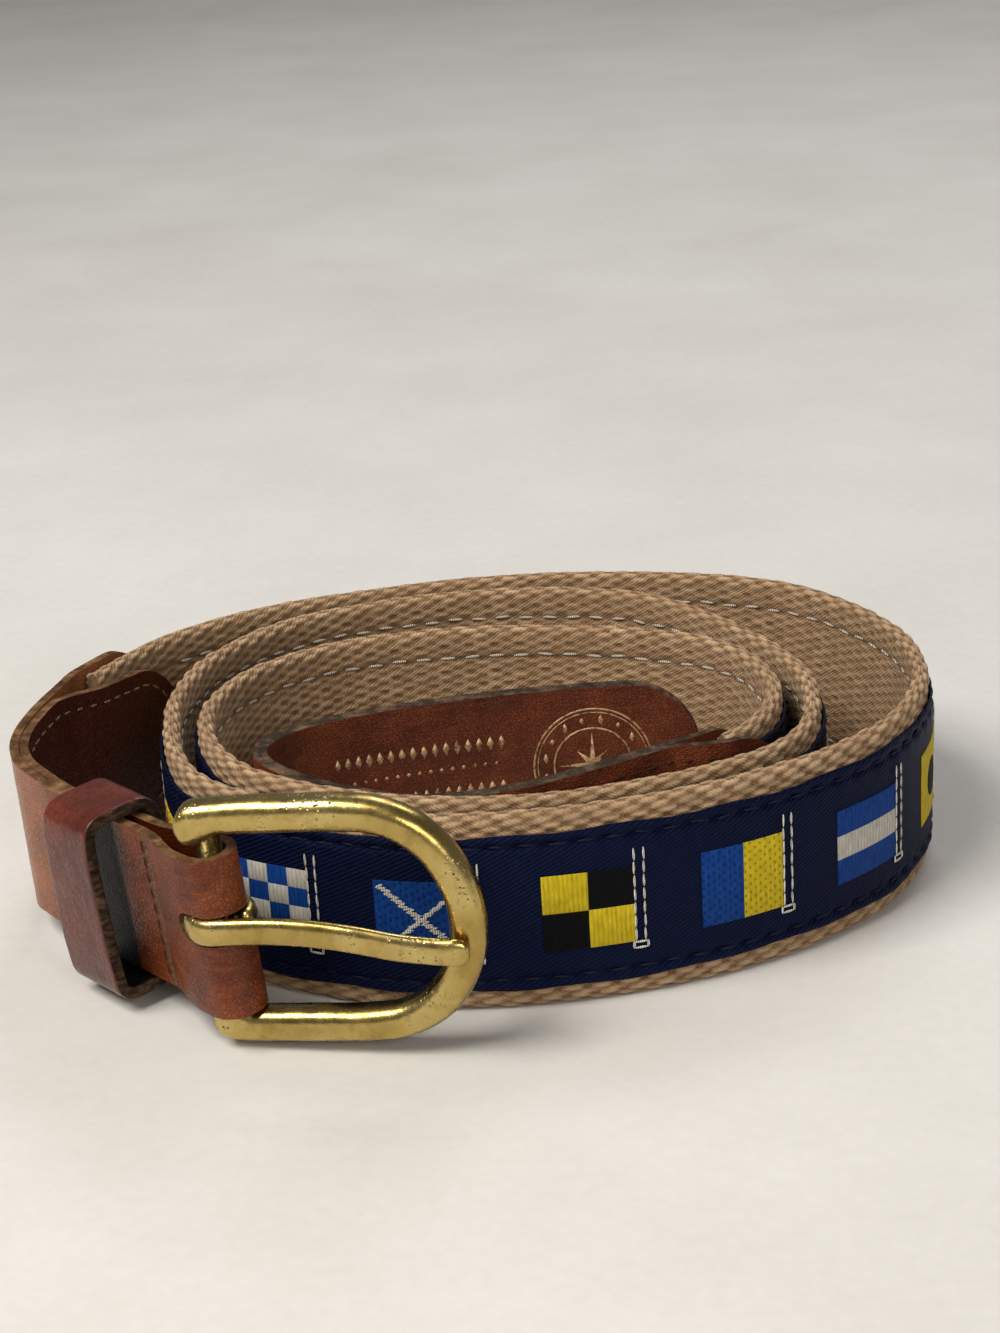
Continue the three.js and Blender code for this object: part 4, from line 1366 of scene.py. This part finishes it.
def sewLeather():
    s = leatherSeams
    threads = ((darkThread, "dark_thread"), (beigeThread, "white_thread"))
    for side, word in enumerate(("outer", "inner")):
        halfAt = lambda distance: np.interp(distance, *leather[f"tab{word.capitalize()}"])
        out = seamOut(leather["tabLays"], side, webbing["start"], 1)
        places = alongEdge(s["tabFrom"], leather["tabEnd"], halfAt, out, 1)
        sew(f"tab_stitches_{word}", s["stitch"], places, *threads[side], f"tab_seam_{word}")
    for side, word in enumerate(("outer", "inner")):
        out = seamOut(leather["billetLays"], side, webbing["end"], -1, leather["billetThick"])
        places = alongEdge(webbing["end"] + s["billetFrom"], billetStart, billetHalfAt, out, -1)
        sew(f"billet_stitches_{word}", s["stitch"], places, *threads[0], f"billet_seam_{word}")
    out = leather["tabLays"][0] + leather["thick"] / 2 + 0.03
    ups = np.arange(-s["foldHalf"], s["foldHalf"] + 0.2, s["foldPitch"])
    places = [(s["foldAt"], out, up, math.pi / 2 + 0.12) for up in ups]
    sew("fold_stitches", s["stitch"], places, *threads[0], "fold_seam")


sewLeather()
print("leather sewn")


# Foil stamped on the billet's inner face: a compass star in two rings, with rows of lozenges beside it

stamp = {
    "middle": 18.5,
    "height": -0.9,
    "outer": 10.2,
    "second": 9.5,
    "inner": 6.7,
    "line": 0.32,
    "thick": 0.12,
    "proud": 0.07,
    "points": 16,
    "reaches": (1.0, 0.2, 0.62, 0.2),  # of the star's points, in turn
    "beads": (0.95, 0.55),  # half heights of the lozenges between the rings
    "rows": ((4.6, 0.62, 1.25), (0.9, 0.4, 0.4), (-3.4, 0.62, 1.25)),  # height, half width and half height
    "rowFrom": 33.0,
    "rowTo": 64.0,
    "lozenge": 1.9,
}


def thicken(bm, faces):
    lifted = bmesh.ops.extrude_face_region(bm, geom=faces)["geom"]
    top = [g for g in lifted if isinstance(g, bmesh.types.BMVert)]
    bmesh.ops.translate(bm, verts=top, vec=(0, -stamp["thick"], 0))


def flatShape(bm, points):
    # A thin plate in the X-Z plane facing -Y
    thicken(bm, [bm.faces.new([bm.verts.new((x, 0, z)) for x, z in points])])


def lozenge(bm, x, z, wide, tall):
    flatShape(bm, [(x - wide, z), (x, z - tall), (x + wide, z), (x, z + tall)])


def flatRing(bm, radius, line, sides=72):
    upright = Matrix.Rotation(math.pi / 2, 4, "X")
    edges = []
    for r in (radius, radius - line):
        verts = bmesh.ops.create_circle(bm, segments=sides, radius=r, cap_ends=False, matrix=upright)["verts"]
        edges += {e for v in verts for e in v.link_edges}
    thicken(bm, bmesh.ops.bridge_loops(bm, edges=edges)["faces"])


def buildStamp():
    s = stamp
    bm = bmesh.new()
    for radius, line in ((s["outer"], s["line"]), (s["second"], s["line"] * 0.6), (s["inner"], s["line"])):
        flatRing(bm, radius, line)
    step = 2 * math.pi / s["points"]
    reaches = [(s["inner"] - 0.9) * s["reaches"][k % 4] for k in range(s["points"])]
    flatShape(bm, [(r * math.sin(k * step), r * math.cos(k * step)) for k, r in enumerate(reaches)])
    middleRing = (s["second"] + s["inner"]) / 2
    for k in range(s["points"]):
        angle = (k + 0.5) * step
        lozenge(bm, middleRing * math.sin(angle), middleRing * math.cos(angle), 0.45, s["beads"][k % 2])
    bmesh.ops.translate(bm, verts=bm.verts, vec=(beltLength - s["middle"], 0, s["height"]))
    for row, (z, wide, tall) in enumerate(s["rows"]):
        for k in range(int((s["rowTo"] - s["rowFrom"]) / s["lozenge"])):
            x = beltLength - s["rowFrom"] - (k + 0.5 + 0.5 * (row % 2)) * s["lozenge"]
            lozenge(bm, x, z, wide, tall)
    out = leather["billetLays"][1] - leather["billetThick"] / 2 + s["proud"]
    bmesh.ops.translate(bm, verts=bm.verts, vec=(0, out, 0))
    bmesh.ops.triangulate(bm, faces=[f for f in bm.faces if len(f.verts) > 4])
    bmesh.ops.recalc_face_normals(bm, faces=bm.faces)
    addPiece("foil_stamp", lay(toMesh(bm, "stamp")), [foil], "belt", "leather_dark")


buildStamp()
print("stamp pressed")


# Floor, light and camera

def addFloor():
    bm = bmesh.new()
    bmesh.ops.create_grid(bm, x_segments=2, y_segments=2, size=4.0)
    floor = bpy.data.objects.new("floor", toMesh(bm, "floor"))
    bpy.context.scene.collection.objects.link(floor)
    floor.data.materials.append(floorMaterial())


def addLight(name, place, target, size, power, colour):
    data = bpy.data.lights.new(name, "AREA")
    data.shape = "RECTANGLE"
    data.size, data.size_y = size
    data.energy = power
    data.color = colour
    light = bpy.data.objects.new(name, data)
    light.location = place
    light.rotation_euler = (Vector(target) - Vector(place)).to_track_quat("-Z", "Y").to_euler()
    bpy.context.scene.collection.objects.link(light)


lighting = [  # name, place and size in metres, power, colour
    ("window", (-0.50, -0.35, 0.85), (0.55, 0.45), 11.5, (1.0, 0.965, 0.91)),
    ("front", (0.40, -1.05, 0.60), (0.5, 0.4), 4.4, (1.0, 0.95, 0.88)),
    ("back", (0.30, 0.75, 0.85), (0.6, 0.35), 3.6, (0.97, 0.98, 1.0)),
]
addFloor()
for name, place, size, power, colour in lighting:
    addLight(name, place, (0, 0, 0.02), size, power, colour)
world = bpy.data.worlds.new("studio")
world.use_nodes = True
background = world.node_tree.nodes["Background"]
background.inputs["Color"].default_value = (0.93, 0.93, 0.95, 1)
background.inputs["Strength"].default_value = 0.16
bpy.context.scene.world = world
bpy.context.scene.view_settings.view_transform = "Standard"

view = {"place": (4.18, -409.382, 199.427), "pitch": 21.5, "roll": 3.21, "focal": 73.84}
cameraData = bpy.data.cameras.new("camera")
cameraData.lens = view["focal"]
cameraData.sensor_width = 36.0
cameraData.sensor_fit = "AUTO"
cameraData.clip_start = 0.01
camera = bpy.data.objects.new("camera", cameraData)
pitch = Matrix.Rotation(math.radians(90 - view["pitch"]), 4, "X")
roll = Matrix.Rotation(math.radians(-view["roll"]), 4, "Z")
camera.matrix_world = Matrix.Translation(Vector(view["place"]) * mm) @ pitch @ roll
bpy.context.scene.collection.objects.link(camera)
bpy.context.scene.camera = camera
